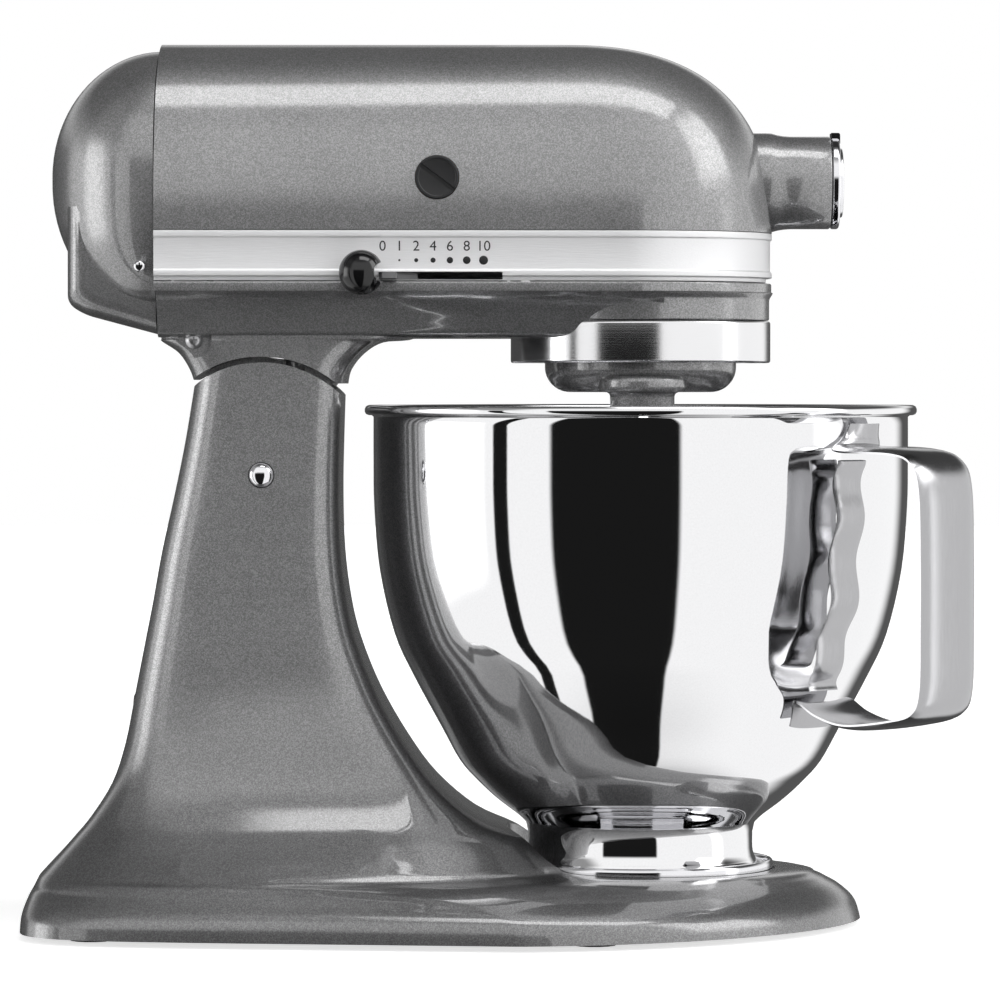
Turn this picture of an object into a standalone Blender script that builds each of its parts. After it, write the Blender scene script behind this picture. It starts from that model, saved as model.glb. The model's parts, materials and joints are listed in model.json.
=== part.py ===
"""Tilt-head planetary stand mixer. Metres, +Z up, +X towards the attachment hub, -Y the speed lever side.

Every part is drawn in the mixer's design frame, whose origin is the bowl's axis at table height. One empty
carries that frame, and one empty sits on the axis of each joint."""

import math

import bmesh
import bpy
from mathutils import Matrix, Vector

# Driving dimensions
BOWL_AXIS_X = 0.0595  # from the middle of the mixer's length to the bowl's axis
GAP = 0.0003
PIN_X, PIN_Z = -0.1502, 0.1805
PIN_R = 0.00485
CROWN_R = 0.0443
ARCH_R = 0.0466
SLOT_Y, SLOT_R = 0.0210, 0.026
TONGUE_Y, TONGUE_R = 0.0205, 0.024
TONGUE_ANGLES = (52, 80)
SLOT_ANGLES = (50, 124)
RIM_Z = 0.2764  # lower edge of the upper housing
HEAD_REAR_X = -0.1910
HEAD_TOP = 0.0754  # height of the upper housing above its lower edge
HEAD_REAR_W, HEAD_FRONT_W = 0.0660, 0.0610
NOSE_START, NOSE_TIP = -0.0100, 0.0525
NOSE_DROP_START = -0.0320
SHELL = 0.0030
HEAD_ARCH = 14  # facets across the head's arch
ARCH_POWER = 2.3  # 2 is an ellipse, more is squarer
DOME_RING = 24
DOME_X, DOME_Z = -0.1905, 0.298  # widest section of the rear cover's dome
DOME_REACH, DOME_W = 0.0448, 0.0637
DOME_UP, DOME_DOWN = 0.0510, 0.0550
BAND_Z = (0.2566, 0.2762)
FLANGE_Z = (0.2523, 0.2563)
MOTOR_Z = 0.2968
HUB_R, HUB_END = 0.0185, 0.0758
SKIRT_R, COLLAR_R = 0.0492, 0.0515
HOUSING_SCREW = (-0.1767, 0.2336)
PORT_X = -0.0808  # brush ports and their caps
PLANET_E = 0.028125
GEAR_MODULE = 0.00125
JACK_XY = (-0.021, 0.028)
PLATE_R = 0.0533
CORD_Z = 0.0850
HANDLE_AZIMUTH = math.radians(-42.5)

PAINT = ("paint_graphite", (0.16, 0.16, 0.165), 0.32, 0.75)
CHROME = ("chrome", (0.82, 0.82, 0.83), 0.08, 1.0)
POLISHED = ("polished_steel", (0.80, 0.80, 0.81), 0.06, 1.0)
BRUSHED = ("brushed_aluminium", (0.72, 0.72, 0.73), 0.35, 1.0)
SATIN = ("satin_steel", (0.62, 0.62, 0.63), 0.28, 1.0)
STEEL = ("machined_steel", (0.45, 0.45, 0.46), 0.35, 1.0)
BLACK = ("black_plastic", (0.012, 0.012, 0.013), 0.15, 0.0)
RUBBER = ("black_rubber", (0.02, 0.02, 0.02), 0.8, 0.0)
COPPER = ("copper", (0.72, 0.36, 0.18), 0.35, 1.0)
CARBON = ("carbon", (0.03, 0.03, 0.03), 0.6, 0.0)
BRONZE = ("bronze", (0.55, 0.38, 0.18), 0.4, 1.0)
NYLON = ("white_nylon", (0.75, 0.74, 0.70), 0.5, 0.0)


def clear_scene():
    for obj in list(bpy.data.objects):
        bpy.data.objects.remove(obj, do_unlink=True)


def new_collection(name):
    made = bpy.data.collections.new(name)
    bpy.context.scene.collection.children.link(made)
    return made


def material(spec):
    name, colour, roughness, metallic = spec
    found = bpy.data.materials.get(name)
    if found:
        return found
    made = bpy.data.materials.new(name)
    made.use_nodes = True
    shader = made.node_tree.nodes["Principled BSDF"]
    shader.inputs["Base Color"].default_value = (*colour, 1.0)
    shader.inputs["Roughness"].default_value = roughness
    shader.inputs["Metallic"].default_value = metallic
    return made


def empty(name, location, parent=None):
    made = bpy.data.objects.new(name, None)
    PARTS.objects.link(made)
    made.location = location
    made.parent = parent
    return made


def ride(obj, joint):
    """Hang an object drawn in the design frame on a joint's empty."""
    obj.parent = joint
    if joint is not MIXER:
        obj.matrix_parent_inverse = Matrix.Translation(-joint.location)


def part(name, mesh, spec, joint, location=(0, 0, 0), rotation=(0, 0, 0)):
    obj = bpy.data.objects.new(name, mesh)
    PARTS.objects.link(obj)
    mesh.materials.append(material(spec))
    mesh.shade_smooth()
    mesh.set_sharp_from_angle(angle=math.radians(35))
    obj.location = location
    obj.rotation_euler = rotation
    ride(obj, joint)
    return obj


def tool(name, mesh, location=(0, 0, 0), rotation=(0, 0, 0)):
    """A cutter, or a form that is joined into a part."""
    obj = bpy.data.objects.new(name, mesh)
    TOOLS.objects.link(obj)
    obj.location = location
    obj.rotation_euler = rotation
    obj.parent = MIXER
    obj.hide_render = True
    obj.display_type = "WIRE"
    return obj


def boolean(obj, operation, *others):
    for other in others:
        step = obj.modifiers.new(other.name, "BOOLEAN")
        step.operation = operation
        step.solver = "EXACT"
        step.object = other


def cut(obj, *others):
    boolean(obj, "DIFFERENCE", *others)


def join(obj, *others):
    boolean(obj, "UNION", *others)


def carve(obj, mesh):
    """Cut a mesh out of a part."""
    cut(obj, tool(mesh.name, mesh))


def weld(obj, mesh):
    """Join a mesh to a part."""
    join(obj, tool(mesh.name, mesh))


def finish_mesh(name, bm, merge=1e-6):
    bmesh.ops.remove_doubles(bm, verts=bm.verts, dist=merge)
    bmesh.ops.recalc_face_normals(bm, faces=bm.faces)
    mesh = bpy.data.meshes.new(name)
    bm.to_mesh(mesh)
    bm.free()
    return mesh


def box(name, low, high):
    bm = bmesh.new()
    bmesh.ops.create_cube(bm, size=1.0)
    low, high = Vector(low), Vector(high)
    bmesh.ops.scale(bm, vec=high - low, verts=bm.verts)
    bmesh.ops.translate(bm, vec=(low + high) / 2, verts=bm.verts)
    return finish_mesh(name, bm)


TURN = {"Z": (0, 0, 0), "X": (0, math.pi / 2, 0), "Y": (-math.pi / 2, 0, 0)}


def rod(name, radius, start, length, axis="Z", segments=32):
    """A cylinder from its start point along an axis."""
    bm = bmesh.new()
    bmesh.ops.create_cone(bm, cap_ends=True, segments=segments, radius1=radius, radius2=radius, depth=length)
    bmesh.ops.translate(bm, vec=(0, 0, length / 2), verts=bm.verts)
    spin = Matrix.Rotation(TURN[axis][0], 4, "X") @ Matrix.Rotation(TURN[axis][1], 4, "Y")
    bmesh.ops.transform(bm, matrix=Matrix.Translation(start) @ spin, verts=bm.verts)
    return finish_mesh(name, bm)


def turned(name, profile, spec, joint, at=(0, 0, 0), axis="Z", segments=48, is_tool=False):
    """A turned part: (radius, height) points that run down the outer side, spun by a Screw modifier."""
    points = [p for i, p in enumerate(profile) if i == 0 or p != profile[i - 1]]
    closed = points[0][0] > 0 and points[-1][0] > 0
    mesh = bpy.data.meshes.new(name)
    edges = [(i, i + 1) for i in range(len(points) - 1)]
    if closed:
        edges.append((len(points) - 1, 0))
    mesh.from_pydata([(r, 0, z) for r, z in points], edges, [])
    obj = tool(name, mesh, at, TURN[axis]) if is_tool else part(name, mesh, spec, joint, at, TURN[axis])
    spin = obj.modifiers.new("turn", "SCREW")
    spin.steps = spin.render_steps = segments
    spin.use_merge_vertices = True
    spin.merge_threshold = 1e-5
    spin.use_smooth_shade = True
    return obj


def tube(inner, outer, low, high):
    return [(outer, high), (outer, low), (inner, low), (inner, high)]


def disc(radius, low, high, chamfer=0.0):
    if not chamfer:
        return [(0, high), (radius, high), (radius, low), (0, low)]
    return [
        (0, high),
        (radius - chamfer, high),
        (radius, high - chamfer),
        (radius, low + chamfer),
        (radius - chamfer, low),
        (0, low),
    ]


def loft(name, rings, closed_path=False):
    """Skin closed rings of equal size; the two end rings are capped unless the path closes."""
    bm = bmesh.new()
    rows = [[bm.verts.new(p) for p in ring] for ring in rings]
    count = len(rows[0])
    pairs = list(zip(rows, rows[1:], strict=False))
    if closed_path:
        pairs.append((rows[-1], rows[0]))
    for low, high in pairs:
        for i in range(count):
            j = (i + 1) % count
            bm.faces.new((low[i], low[j], high[j], high[i]))
    if not closed_path:
        bm.faces.new(rows[0][::-1])
        bm.faces.new(rows[-1])
    return finish_mesh(name, bm)


def prism(name, outline, low, high, plane="XZ"):
    """A flat outline pushed straight through: an XZ outline along Y, an XY outline along Z."""
    if plane == "XZ":
        return loft(name, [[(x, d, z) for x, z in outline] for d in (low, high)])
    return loft(name, [[(x, y, d) for x, y in outline] for d in (low, high)])


def power(value, exponent):
    return math.copysign(abs(value) ** exponent, value)


def mix(a, b, t):
    return a + (b - a) * t


def smooth_path(points, per_span):
    """Points along a Catmull-Rom curve through the given points."""
    ends = [points[0], *points, points[-1]]
    out = []
    for i in range(len(points) - 1):
        p0, p1, p2, p3 = (Vector(ends[i + k]) for k in range(4))
        for s in range(per_span):
            t = s / per_span
            out.append(
                0.5 * (2 * p1 + (p2 - p0) * t + (2 * p0 - 5 * p1 + 4 * p2 - p3) * t**2
                       + (3 * p1 - p0 - 3 * p2 + p3) * t**3)
            )
    out.append(Vector(points[-1]))
    return out


# ---------------------------------------------------------------- stand

# height, front, rear, half width, widest station, front and rear exponents, rear taper
STAND_LEVELS = [
    (0.0025, 0.0883, -0.2445, 0.1170, -0.050, 1.8, 8.0, 0.18),
    (0.0080, 0.0868, -0.2440, 0.1163, -0.052, 1.8, 8.0, 0.18),
    (0.0120, 0.0843, -0.2430, 0.1140, -0.056, 1.8, 7.5, 0.18),
    (0.0160, 0.0795, -0.2415, 0.1065, -0.065, 1.85, 7.0, 0.17),
    (0.0185, 0.0750, -0.2402, 0.1000, -0.080, 1.9, 6.5, 0.16),
    (0.0205, 0.0705, -0.2392, 0.0965, -0.100, 1.95, 6.5, 0.15),
    (0.0225, 0.0600, -0.2383, 0.0930, -0.130, 2.0, 6.0, 0.14),
    (0.0235, -0.0120, -0.2375, 0.0915, -0.150, 2.4, 6.0, 0.13),
    (0.0262, -0.0280, -0.2350, 0.0885, -0.150, 2.7, 6.0, 0.13),
    (0.0312, -0.0390, -0.2303, 0.0830, -0.150, 3.2, 6.0, 0.12),
    (0.0372, -0.0483, -0.2250, 0.0760, -0.150, 4.0, 5.5, 0.10),
    (0.0445, -0.0653, -0.2190, 0.0680, -0.150, 5.5, 5.0, 0.07),
    (0.0578, -0.0813, -0.2107, 0.0580, -0.150, 7.0, 4.5, 0.04),
    (0.0737, -0.0932, -0.2054, 0.0525, -0.150, 7.5, 4.5, 0.02),
    (0.0936, -0.1045, -0.2015, 0.0485, -0.153, 7.5, 4.5, 0.0),
    (0.1136, -0.1125, -0.1976, 0.0465, -0.155, 7.5, 4.5, 0.0),
    (0.1300, -0.1165, -0.1944, 0.0452, -0.155, 7.5, 4.5, 0.0),
    (0.1500, -0.1190, -0.1908, 0.0440, -0.154, 7.5, 4.5, 0.0),
    (0.1730, -0.1197, -0.1857, 0.0430, -0.152, 7.5, 4.5, 0.0),
    (0.1960, -0.1193, -0.1811, 0.0420, -0.150, 7.5, 4.5, 0.0),
    (0.2260, -0.1183, -0.1763, 0.0410, -0.147, 7.5, 4.5, 0.0),
]
STAND_RING = 32


def stand_ring(level, inset=0.0, drop=0.0):
    z, front, rear, half, widest, n_front, n_rear, taper = level
    ring = []
    for k in range(STAND_RING):
        a = 2 * math.pi * k / STAND_RING
        forward = math.cos(a) >= 0
        n = n_front if forward else n_rear
        reach = (front - inset - widest) if forward else (widest - rear - inset)
        u = power(math.cos(a), 2 / n)
        y = (half - inset) * power(math.sin(a), 2 / n)
        if not forward:
            y *= 1 + taper * u
        ring.append((widest + reach * u, y, z - drop))
    return ring


FEET = [(0.060, 0.0), (-0.020, 0.086), (-0.020, -0.086), (-0.215, 0.068), (-0.215, -0.068)]
PLATE_SCREW_R = 0.036
DIAGONALS = [math.radians(45 + 90 * i) for i in range(4)]
PLATE_SCREWS = [(PLATE_SCREW_R * math.cos(a), PLATE_SCREW_R * math.sin(a)) for a in DIAGONALS]
HEIGHT_SCREW = (-0.1370, -0.031)
CORD_X = -0.2056  # rear face of the column at the cord's height


def sector(radius_in, radius_out, start, end, steps=12):
    """An arc-shaped outline about the hinge pin, in XZ."""
    angles = [math.radians(mix(start, end, i / steps)) for i in range(steps + 1)]
    outer = [(PIN_X + radius_out * math.cos(a), PIN_Z + radius_out * math.sin(a)) for a in angles]
    if radius_in <= 0:
        return [(PIN_X, PIN_Z), *outer]
    inner = [(PIN_X + radius_in * math.cos(a), PIN_Z + radius_in * math.sin(a)) for a in angles]
    return outer + inner[::-1]


def make_stand():
    wall, roof = 0.005, 0.0055
    body = part("pedestal", loft("pedestal", [stand_ring(v) for v in STAND_LEVELS]), PAINT, MIXER)
    hollow_levels = [v for v in STAND_LEVELS[1::2] if v[0] < 0.152]
    rings = [stand_ring(v, wall, roof) for v in hollow_levels]
    rings.insert(0, [(x, y, -0.006) for x, y, _ in rings[0]])
    hollow = tool("stand_hollow", loft("stand_hollow", rings))
    carve(hollow, rod("plate_floor", 0.0600, (0, 0, 0.0160), 0.050, segments=28))
    for i, (x, y) in enumerate(FEET, 1):
        carve(hollow, rod(f"foot_boss_{i}", 0.0125, (x, y, 0.0040), 0.060, segments=20))
    cut(body, hollow)
    carve(body, rod("plate_recess", 0.0540, (0, 0, 0.0218), 0.050, segments=36))
    crown = sector(CROWN_R, 0.090, 20, 160, 24)
    carve(body, prism("crown_cut", crown, -0.06, 0.06))
    carve(body, rod("slot_disc", SLOT_R, (PIN_X, -SLOT_Y, PIN_Z), 2 * SLOT_Y, "Y", segments=32))
    wedge = sector(0, 0.070, *SLOT_ANGLES, 6)
    carve(body, prism("slot_wedge", wedge, -SLOT_Y - 0.0001, SLOT_Y + 0.0001))
    carve(body, rod("pin_bore", PIN_R + GAP, (PIN_X, -0.06, PIN_Z), 0.12, "Y", segments=24))
    groove = sector(0.0418, 0.0470, 84, 150, 8)
    carve(body, prism("lock_groove", groove, 0.0328, 0.0392))
    carve(body, rod("height_screw_hole", 0.0038, (*HEIGHT_SCREW, 0.2100), 0.03, segments=16))
    carve(body, rod("cord_hole", 0.0072, (-0.2200, 0, CORD_Z), 0.0350, "X", segments=20))
    for i, (x, y) in enumerate(PLATE_SCREWS, 1):
        carve(body, rod(f"plate_screw_hole_{i}", 0.0020, (x, y, 0.0180), 0.01, segments=12))

    pin = [(0, 0.0458), (0.0022, 0.0455), (0.0040, 0.0445), (0.00485, 0.0428)]
    turned("hinge_pin", pin + [(r, -h) for r, h in reversed(pin)], CHROME, MIXER, (PIN_X, 0, PIN_Z), "Y", 20)
    for i, (x, y) in enumerate(FEET, 1):
        turned(f"foot_{i}", disc(0.0095, 0.0, 0.0037, 0.0008), RUBBER, MIXER, (x, y, 0), segments=14)
    screw = disc(0.0034, 0.2112, 0.2185, 0.0006)
    turned("height_adjust_screw", screw, STEEL, MIXER, (*HEIGHT_SCREW, 0), segments=16)
    grommet = [
        (0.0084, 0.0020), (0.0090, 0.0010), (0.0090, 0.0), (0.0068, 0.0), (0.0068, -0.0110),
        (0.0040, -0.0110), (0.0040, 0.0020),
    ]
    obj = turned("cord_grommet", grommet, RUBBER, MIXER, (CORD_X, 0, CORD_Z), segments=20)
    obj.rotation_euler = (0, -math.pi / 2, 0)


def make_clamp_plate():
    low, top, rim = 0.0221, 0.0262, 0.0017
    profile = [
        (PLATE_R - rim, top), (PLATE_R - 0.0006, top), (PLATE_R, top - 0.0010), (PLATE_R, low),
        (0.0100, low), (0.0100, low + 0.0012), (PLATE_R - rim, low + 0.0012),
    ]
    plate = turned("bowl_clamp_plate", profile, CHROME, MIXER, segments=28)
    for i, (x, y) in enumerate(PLATE_SCREWS, 1):
        carve(plate, rod(f"plate_hole_{i}", 0.0019, (x, y, 0.015), 0.02, segments=12))
    for i in range(4):
        middle = math.radians(45 + 90 * i)
        half = math.radians(14)
        angles = [mix(middle - half, middle + half, k / 6) for k in range(7)]
        outline = [(0.0527 * math.cos(a), 0.0527 * math.sin(a)) for a in angles]
        outline += [(0.0478 * math.cos(a), 0.0478 * math.sin(a)) for a in reversed(angles)]
        weld(plate, prism(f"plate_tab_{i}", outline, 0.0255, 0.0263, "XY"))
    head = [
        (0, 0.0249), (0.0020, 0.0247), (0.0034, 0.0238), (0.0034, 0.0236), (0.0015, 0.0236),
        (0.0015, 0.0185), (0, 0.0185),
    ]
    for i, (x, y) in enumerate(PLATE_SCREWS, 1):
        turned(f"plate_screw_{i}", head, STEEL, MIXER, (x, y, 0), segments=10)


# ---------------------------------------------------------------- bowl

BOWL_OUTER = [
    (0.1070, 0.2039), (0.1067, 0.1673), (0.1045, 0.1420), (0.0986, 0.1166), (0.0910, 0.0998),
    (0.0800, 0.0795), (0.0724, 0.0657), (0.0654, 0.0577), (0.0577, 0.0505), (0.0484, 0.0434),
    (0.0450, 0.0380), (0.0450, 0.0300), (0.0470, 0.0253), (0.0470, 0.0242),
]
BOWL_WALL = 0.0012


def make_bowl():
    rim = [
        (0.1058, 0.2060), (0.1065, 0.2079), (0.1090, 0.2079), (0.1105, 0.2066), (0.1105, 0.2048),
        (0.1093, 0.2039),
    ]
    foot = [(0.0458, 0.0242), (0.0438, 0.0300), (0.0438, 0.0400), (0, 0.0440)]
    lining = [
        (0, 0.0455), (0.0470, 0.0458), (0.0566, 0.0516), (0.0642, 0.0588), (0.0712, 0.0668),
        (0.0789, 0.0806), (0.0898, 0.1006), (0.0974, 0.1172), (0.1033, 0.1423), (0.1055, 0.1673),
    ]
    bowl = turned("bowl", lining + rim + BOWL_OUTER + foot, POLISHED, BOWL, segments=32)
    for i in range(4):
        middle = math.radians(45 + 90 * i)
        half = math.radians(11)
        angles = [mix(middle - half, middle + half, k / 4) for k in range(5)]
        outline = [(0.0500 * math.cos(a), 0.0500 * math.sin(a)) for a in angles]
        outline += [(0.0462 * math.cos(a), 0.0462 * math.sin(a)) for a in reversed(angles)]
        weld(bowl, prism(f"bowl_lug_{i + 1}", outline, 0.0243, 0.0251, "XY"))


def handle_frame(radial, across, height):
    """A point on the handle: distance from the bowl's axis, sideways offset and height."""
    c, s = math.cos(HANDLE_AZIMUTH), math.sin(HANDLE_AZIMUTH)
    return (radial * c + across * s, radial * s - across * c, height)


def strap(name, path, low, high, thick, crown, wave=0.0, per_span=2, columns=3):
    """A bent metal strap: a crowned flat section swept along a path of (radial, height) points."""
    line = smooth_path(path, per_span)
    rings = []
    for i, p in enumerate(line):
        ahead, behind = line[min(i + 1, len(line) - 1)], line[max(i - 1, 0)]
        run = (ahead - behind).normalized()
        normal = Vector((-run.y, run.x))
        share = i / (len(line) - 1)
        ripple = wave * math.sin(share * 8 * math.pi) * math.sin(share * math.pi)
        ring = []
        for side in (1, -1):
            for k in range(columns + 1):
                t = k / columns if side > 0 else 1 - k / columns
                across = mix(low, high, t)
                lift = crown * (1 - (2 * t - 1) ** 2) + side * thick / 2 + ripple
                q = p + normal * lift
                ring.append(handle_frame(q.x, across, q.y))
        rings.append(ring)
    return loft(name, rings)


HANDLE_PATH = [
    (0.1085, 0.2010), (0.1085, 0.1945), (0.1125, 0.1905), (0.1400, 0.1895), (0.1500, 0.1860),
    (0.1540, 0.1760), (0.1550, 0.1500), (0.1550, 0.1200), (0.1545, 0.1000), (0.1510, 0.0910),
    (0.1400, 0.0875), (0.1180, 0.0850), (0.1040, 0.0880), (0.0945, 0.0930), (0.0895, 0.0915),
    (0.0850, 0.0830),
]
FINGER_PATH = [
    (0.1150, 0.1868), (0.1135, 0.1820), (0.1130, 0.1680), (0.1120, 0.1500), (0.1095, 0.1310),
    (0.1055, 0.1150), (0.1010, 0.1030), (0.1010, 0.0975),
]


def make_handle():
    grip = strap("handle_outer", HANDLE_PATH, -0.0166, 0.0166, 0.0016, 0.0016)
    part("handle_outer", grip, SATIN, BOWL)
    finger = strap("handle_inner", FINGER_PATH, -0.0004, 0.0162, 0.0014, 0.0, 0.0018, 4, 1)
    part("handle_inner", finger, SATIN, BOWL)


# ---------------------------------------------------------------- head shells


def head_width(x, inset=0.0):
    if x <= NOSE_START:
        return mix(HEAD_REAR_W, HEAD_FRONT_W, (x - HEAD_REAR_X) / (NOSE_START - HEAD_REAR_X)) - inset
    u = min(1.0, (x - NOSE_START) / (NOSE_TIP - inset - NOSE_START))
    return (HEAD_FRONT_W - inset) * (1 - u**2.1) ** (1 / 2.1)


def head_rows(inset):
    """Sections along the upper housing: an arched section at each, closing to a point at the nose."""
    straight = [HEAD_REAR_X, -0.130, -0.080, NOSE_DROP_START]
    reach = NOSE_TIP - inset - NOSE_DROP_START
    nose = [NOSE_DROP_START + reach * math.sin(math.radians(a)) ** 0.8 for a in range(10, 90, 10)]
    rows = []
    for x in [*straight, *nose, NOSE_TIP - inset]:
        u = max(0.0, (x - NOSE_DROP_START) / reach)
        height = (HEAD_TOP - inset) * max(0.0, 1 - u**2.5) ** 0.4
        width = head_width(x, inset)
        row = []
        for k in range(HEAD_ARCH + 1):
            a = math.pi * k / HEAD_ARCH
            across, up = power(math.cos(a), 2 / ARCH_POWER), power(math.sin(a), 2 / ARCH_POWER)
            row.append((x, -width * across, RIM_Z + height * up))
        rows.append(row)
    return rows


def thick_shell(name, outer, inner):
    """Close two matching open grids of points into one shell."""
    bm = bmesh.new()
    grids = [[[bm.verts.new(p) for p in row] for row in grid] for grid in (outer, inner)]
    for grid in grids:
        for a, b in zip(grid, grid[1:], strict=False):
            for k in range(len(a) - 1):
                bm.faces.new((a[k], a[k + 1], b[k + 1], b[k]))
    out, inn = grids
    for k in range(len(out[0]) - 1):
        bm.faces.new((out[0][k], out[0][k + 1], inn[0][k + 1], inn[0][k]))
    for a, b, c, d in zip(out, out[1:], inn, inn[1:], strict=False):
        for k in (0, -1):
            bm.faces.new((a[k], b[k], d[k], c[k]))
    last = len(out) - 1
    for grid in grids:
        bmesh.ops.pointmerge(bm, verts=grid[last], merge_co=grid[last][0].co)
    return finish_mesh(name, bm)


def make_upper_housing():
    body = part("upper_housing", thick_shell("upper_housing", head_rows(0.0), head_rows(SHELL)), PAINT, HEAD)
    flare = [
        (0, HUB_END), (HUB_R, HUB_END), (HUB_R, 0.0580), (0.0190, 0.0550), (0.0199, 0.0500),
        (0.0199, 0.0400), (0, 0.0400),
    ]
    join(body, turned("hub_tube", flare, PAINT, None, (0, 0, MOTOR_Z), "X", 32, is_tool=True))
    carve(body, rod("hub_bore", 0.0150, (0.020, 0, MOTOR_Z), 0.070, "X", segments=28))
    carve(body, rod("knob_hole", 0.0034, (0.0660, 0.010, MOTOR_Z), 0.02, "Y", segments=16))
    for side in (-1, 1):
        start = (PORT_X, 0.050 if side > 0 else -0.075, MOTOR_Z)
        carve(body, rod(f"brush_port_{side}", 0.0087, start, 0.025, "Y", segments=28))


def plan_path(inset):
    """The head's plan from the rear on the -Y side round the nose to the rear on the +Y side."""
    half = []
    for x in (HEAD_REAR_X, -0.150, -0.110, -0.080, -0.045):
        half.append((x, -head_width(x)))
    for k in range(0, 91, 15):
        a = math.radians(90 - k)
        x = NOSE_START + (NOSE_TIP - NOSE_START) * power(math.cos(a), 2 / 2.1)
        half.append((x, -HEAD_FRONT_W * power(math.sin(a), 2 / 2.1)))
    line = half + [(x, -y) for x, y in reversed(half[:-1])]
    out = []
    for i, (x, y) in enumerate(line):
        ax, ay = line[min(i + 1, len(line) - 1)]
        bx, by = line[max(i - 1, 0)]
        run = Vector((ax - bx, ay - by)).normalized()
        if i == 0 or i == len(line) - 1:
            out.append((x, y + (inset if y < 0 else -inset)))
            continue
        out.append((x - run.y * inset, y + run.x * inset))
    return out


def make_trim_band():
    low, high = BAND_Z
    section = [
        (0.0, high), (0.0, 0.2738), (0.0007, 0.2733), (0.0007, 0.2610), (0.0, 0.2605), (0.0, low),
        (0.0032, low), (0.0032, high),
    ]
    paths = {inset: plan_path(inset) for inset, _ in section}
    rings = []
    for i in range(len(paths[0.0])):
        rings.append([(*paths[inset][i], z) for inset, z in section])
    band = part("trim_band", loft("trim_band", rings), BRUSHED, HEAD)
    carve(band, box("speed_slot", (-0.1036, -0.075, 0.2570), (-0.0553, -0.050, 0.2600)))
    carve(band, box("lock_slot", (-0.0640, 0.050, 0.2570), (-0.0440, 0.075, 0.2600)))


def make_lower_housing():
    low, high = FLANGE_Z
    body = part("lower_housing", prism("lower_housing", plan_path(0.0002), low, high, "XY"), PAINT, HEAD)
    belly = [(0.0560, 0.2530), (0.0510, 0.2490), (0.0470, 0.2445), (0.0440, 0.2395), (0.0400, 0.2347)]
    belly = belly + [(-y, z) for y, z in reversed(belly)]
    weld(body, loft("belly", [[(x, y, z) for y, z in belly] for x in (-0.1908, 0.008)]))
    weld(body, rod("collar", COLLAR_R, (0, 0, 0.2250), 0.0276, segments=36))
    neck = [
        (0.2420, -0.0860, -0.1908), (0.2347, -0.0906, -0.1908), (0.2331, -0.1034, -0.1904), (0.2286, -0.1111, -0.1838),
        (0.2222, -0.1162, -0.1795), (0.2165, -0.1176, -0.1775),
    ]
    rings = []
    for z, front, rear in neck:
        level = (z, front, rear, 0.0420, (front + rear) / 2, 7, 7, 0)
        rings.append(stand_ring(level))
    weld(body, loft("neck", rings))
    groove = [(0.0526, 0.2416), (0.0526, 0.2200), (SKIRT_R, 0.2200), (SKIRT_R, 0.2416)]
    cut(body, turned("ring_groove", groove, None, None, segments=36, is_tool=True))
    carve(body, rod("arch", ARCH_R, (PIN_X, -0.06, PIN_Z), 0.12, "Y", segments=50))
    cavity = [(0.0510, 0.2600), (0.0500, 0.2530), (0.0465, 0.2485), (0.0435, 0.2440), (0.0410, 0.2385)]
    cavity = cavity + [(-y, z) for y, z in reversed(cavity)]
    carve(body, loft("belly_hollow", [[(x, y, z) for y, z in cavity] for x in (-0.1950, 0.004)]))
    seat = [
        (0, 0.2600), (0.0475, 0.2600), (0.0475, 0.2385), (0.0453, 0.2385), (0.0453, 0.2286),
        (0.0400, 0.2286), (0.0400, 0.2200), (0, 0.2200),
    ]
    cut(body, turned("gear_seat", seat, None, None, segments=36, is_tool=True))
    tongue = sector(0.010, 0.0560, *TONGUE_ANGLES, 4)
    weld(body, prism("tongue_wedge", tongue, -TONGUE_Y + 0.0004, TONGUE_Y - 0.0004))
    weld(body, rod("tongue_disc", TONGUE_R, (PIN_X, -TONGUE_Y, PIN_Z), 2 * TONGUE_Y, "Y", segments=32))
    carve(body, rod("tongue_bore", PIN_R + 0.00035, (PIN_X, -0.03, PIN_Z), 0.06, "Y", segments=24))
    carve(body, rod("lock_pin_hole", 0.0028, (PIN_X, 0.0360, 0.2200), 0.03, segments=16))
    for side in (-1, 1):
        x, z = HOUSING_SCREW
        start = 0.0390 if side > 0 else -0.0490
        carve(body, rod(f"screw_dent_{side}", 0.0070, (x, start, z), 0.01, "Y", 24))
        name = "housing_screw_left" if side < 0 else "housing_screw_right"
        screw = [(0, 0.0020), (0.0022, 0.0016), (0.0036, 0.0), (0, 0.0)]
        obj = turned(name, screw, STEEL, HEAD, (x, side * 0.0393, z), "Y", 16)
        obj.rotation_euler = (-side * math.pi / 2, 0, 0)


def dome_ring(x, inset):
    """A section of the rear cover's dome: an upper and a lower half of different depth."""
    reach = DOME_REACH - inset
    u = min(1.0, max(0.0, (DOME_X - x) / reach))
    share = max(0.0, 1 - u**2) ** 0.5
    ring = []
    for k in range(DOME_RING):
        a = 2 * math.pi * k / DOME_RING
        up = math.sin(a) >= 0
        n = ARCH_POWER if up else 3.4
        depth = (DOME_UP if up else DOME_DOWN) - inset
        y = (DOME_W - inset) * share * power(math.cos(a), 2 / n)
        ring.append((x, y, DOME_Z + depth * share * power(math.sin(a), 2 / n)))
    return ring


def dome(name, inset, start):
    reach = DOME_REACH - inset
    stations = [start] + [DOME_X - reach * math.sin(math.radians(a)) for a in (18, 34, 49, 62, 73, 82, 87)]
    rings = [dome_ring(x, inset) for x in stations]
    tip = stations[-1] - reach * 0.0018
    rings.append([(tip, y * 0.35, DOME_Z + (z - DOME_Z) * 0.35) for _, y, z in rings[-1]])
    return loft(name, rings[::-1])


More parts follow.
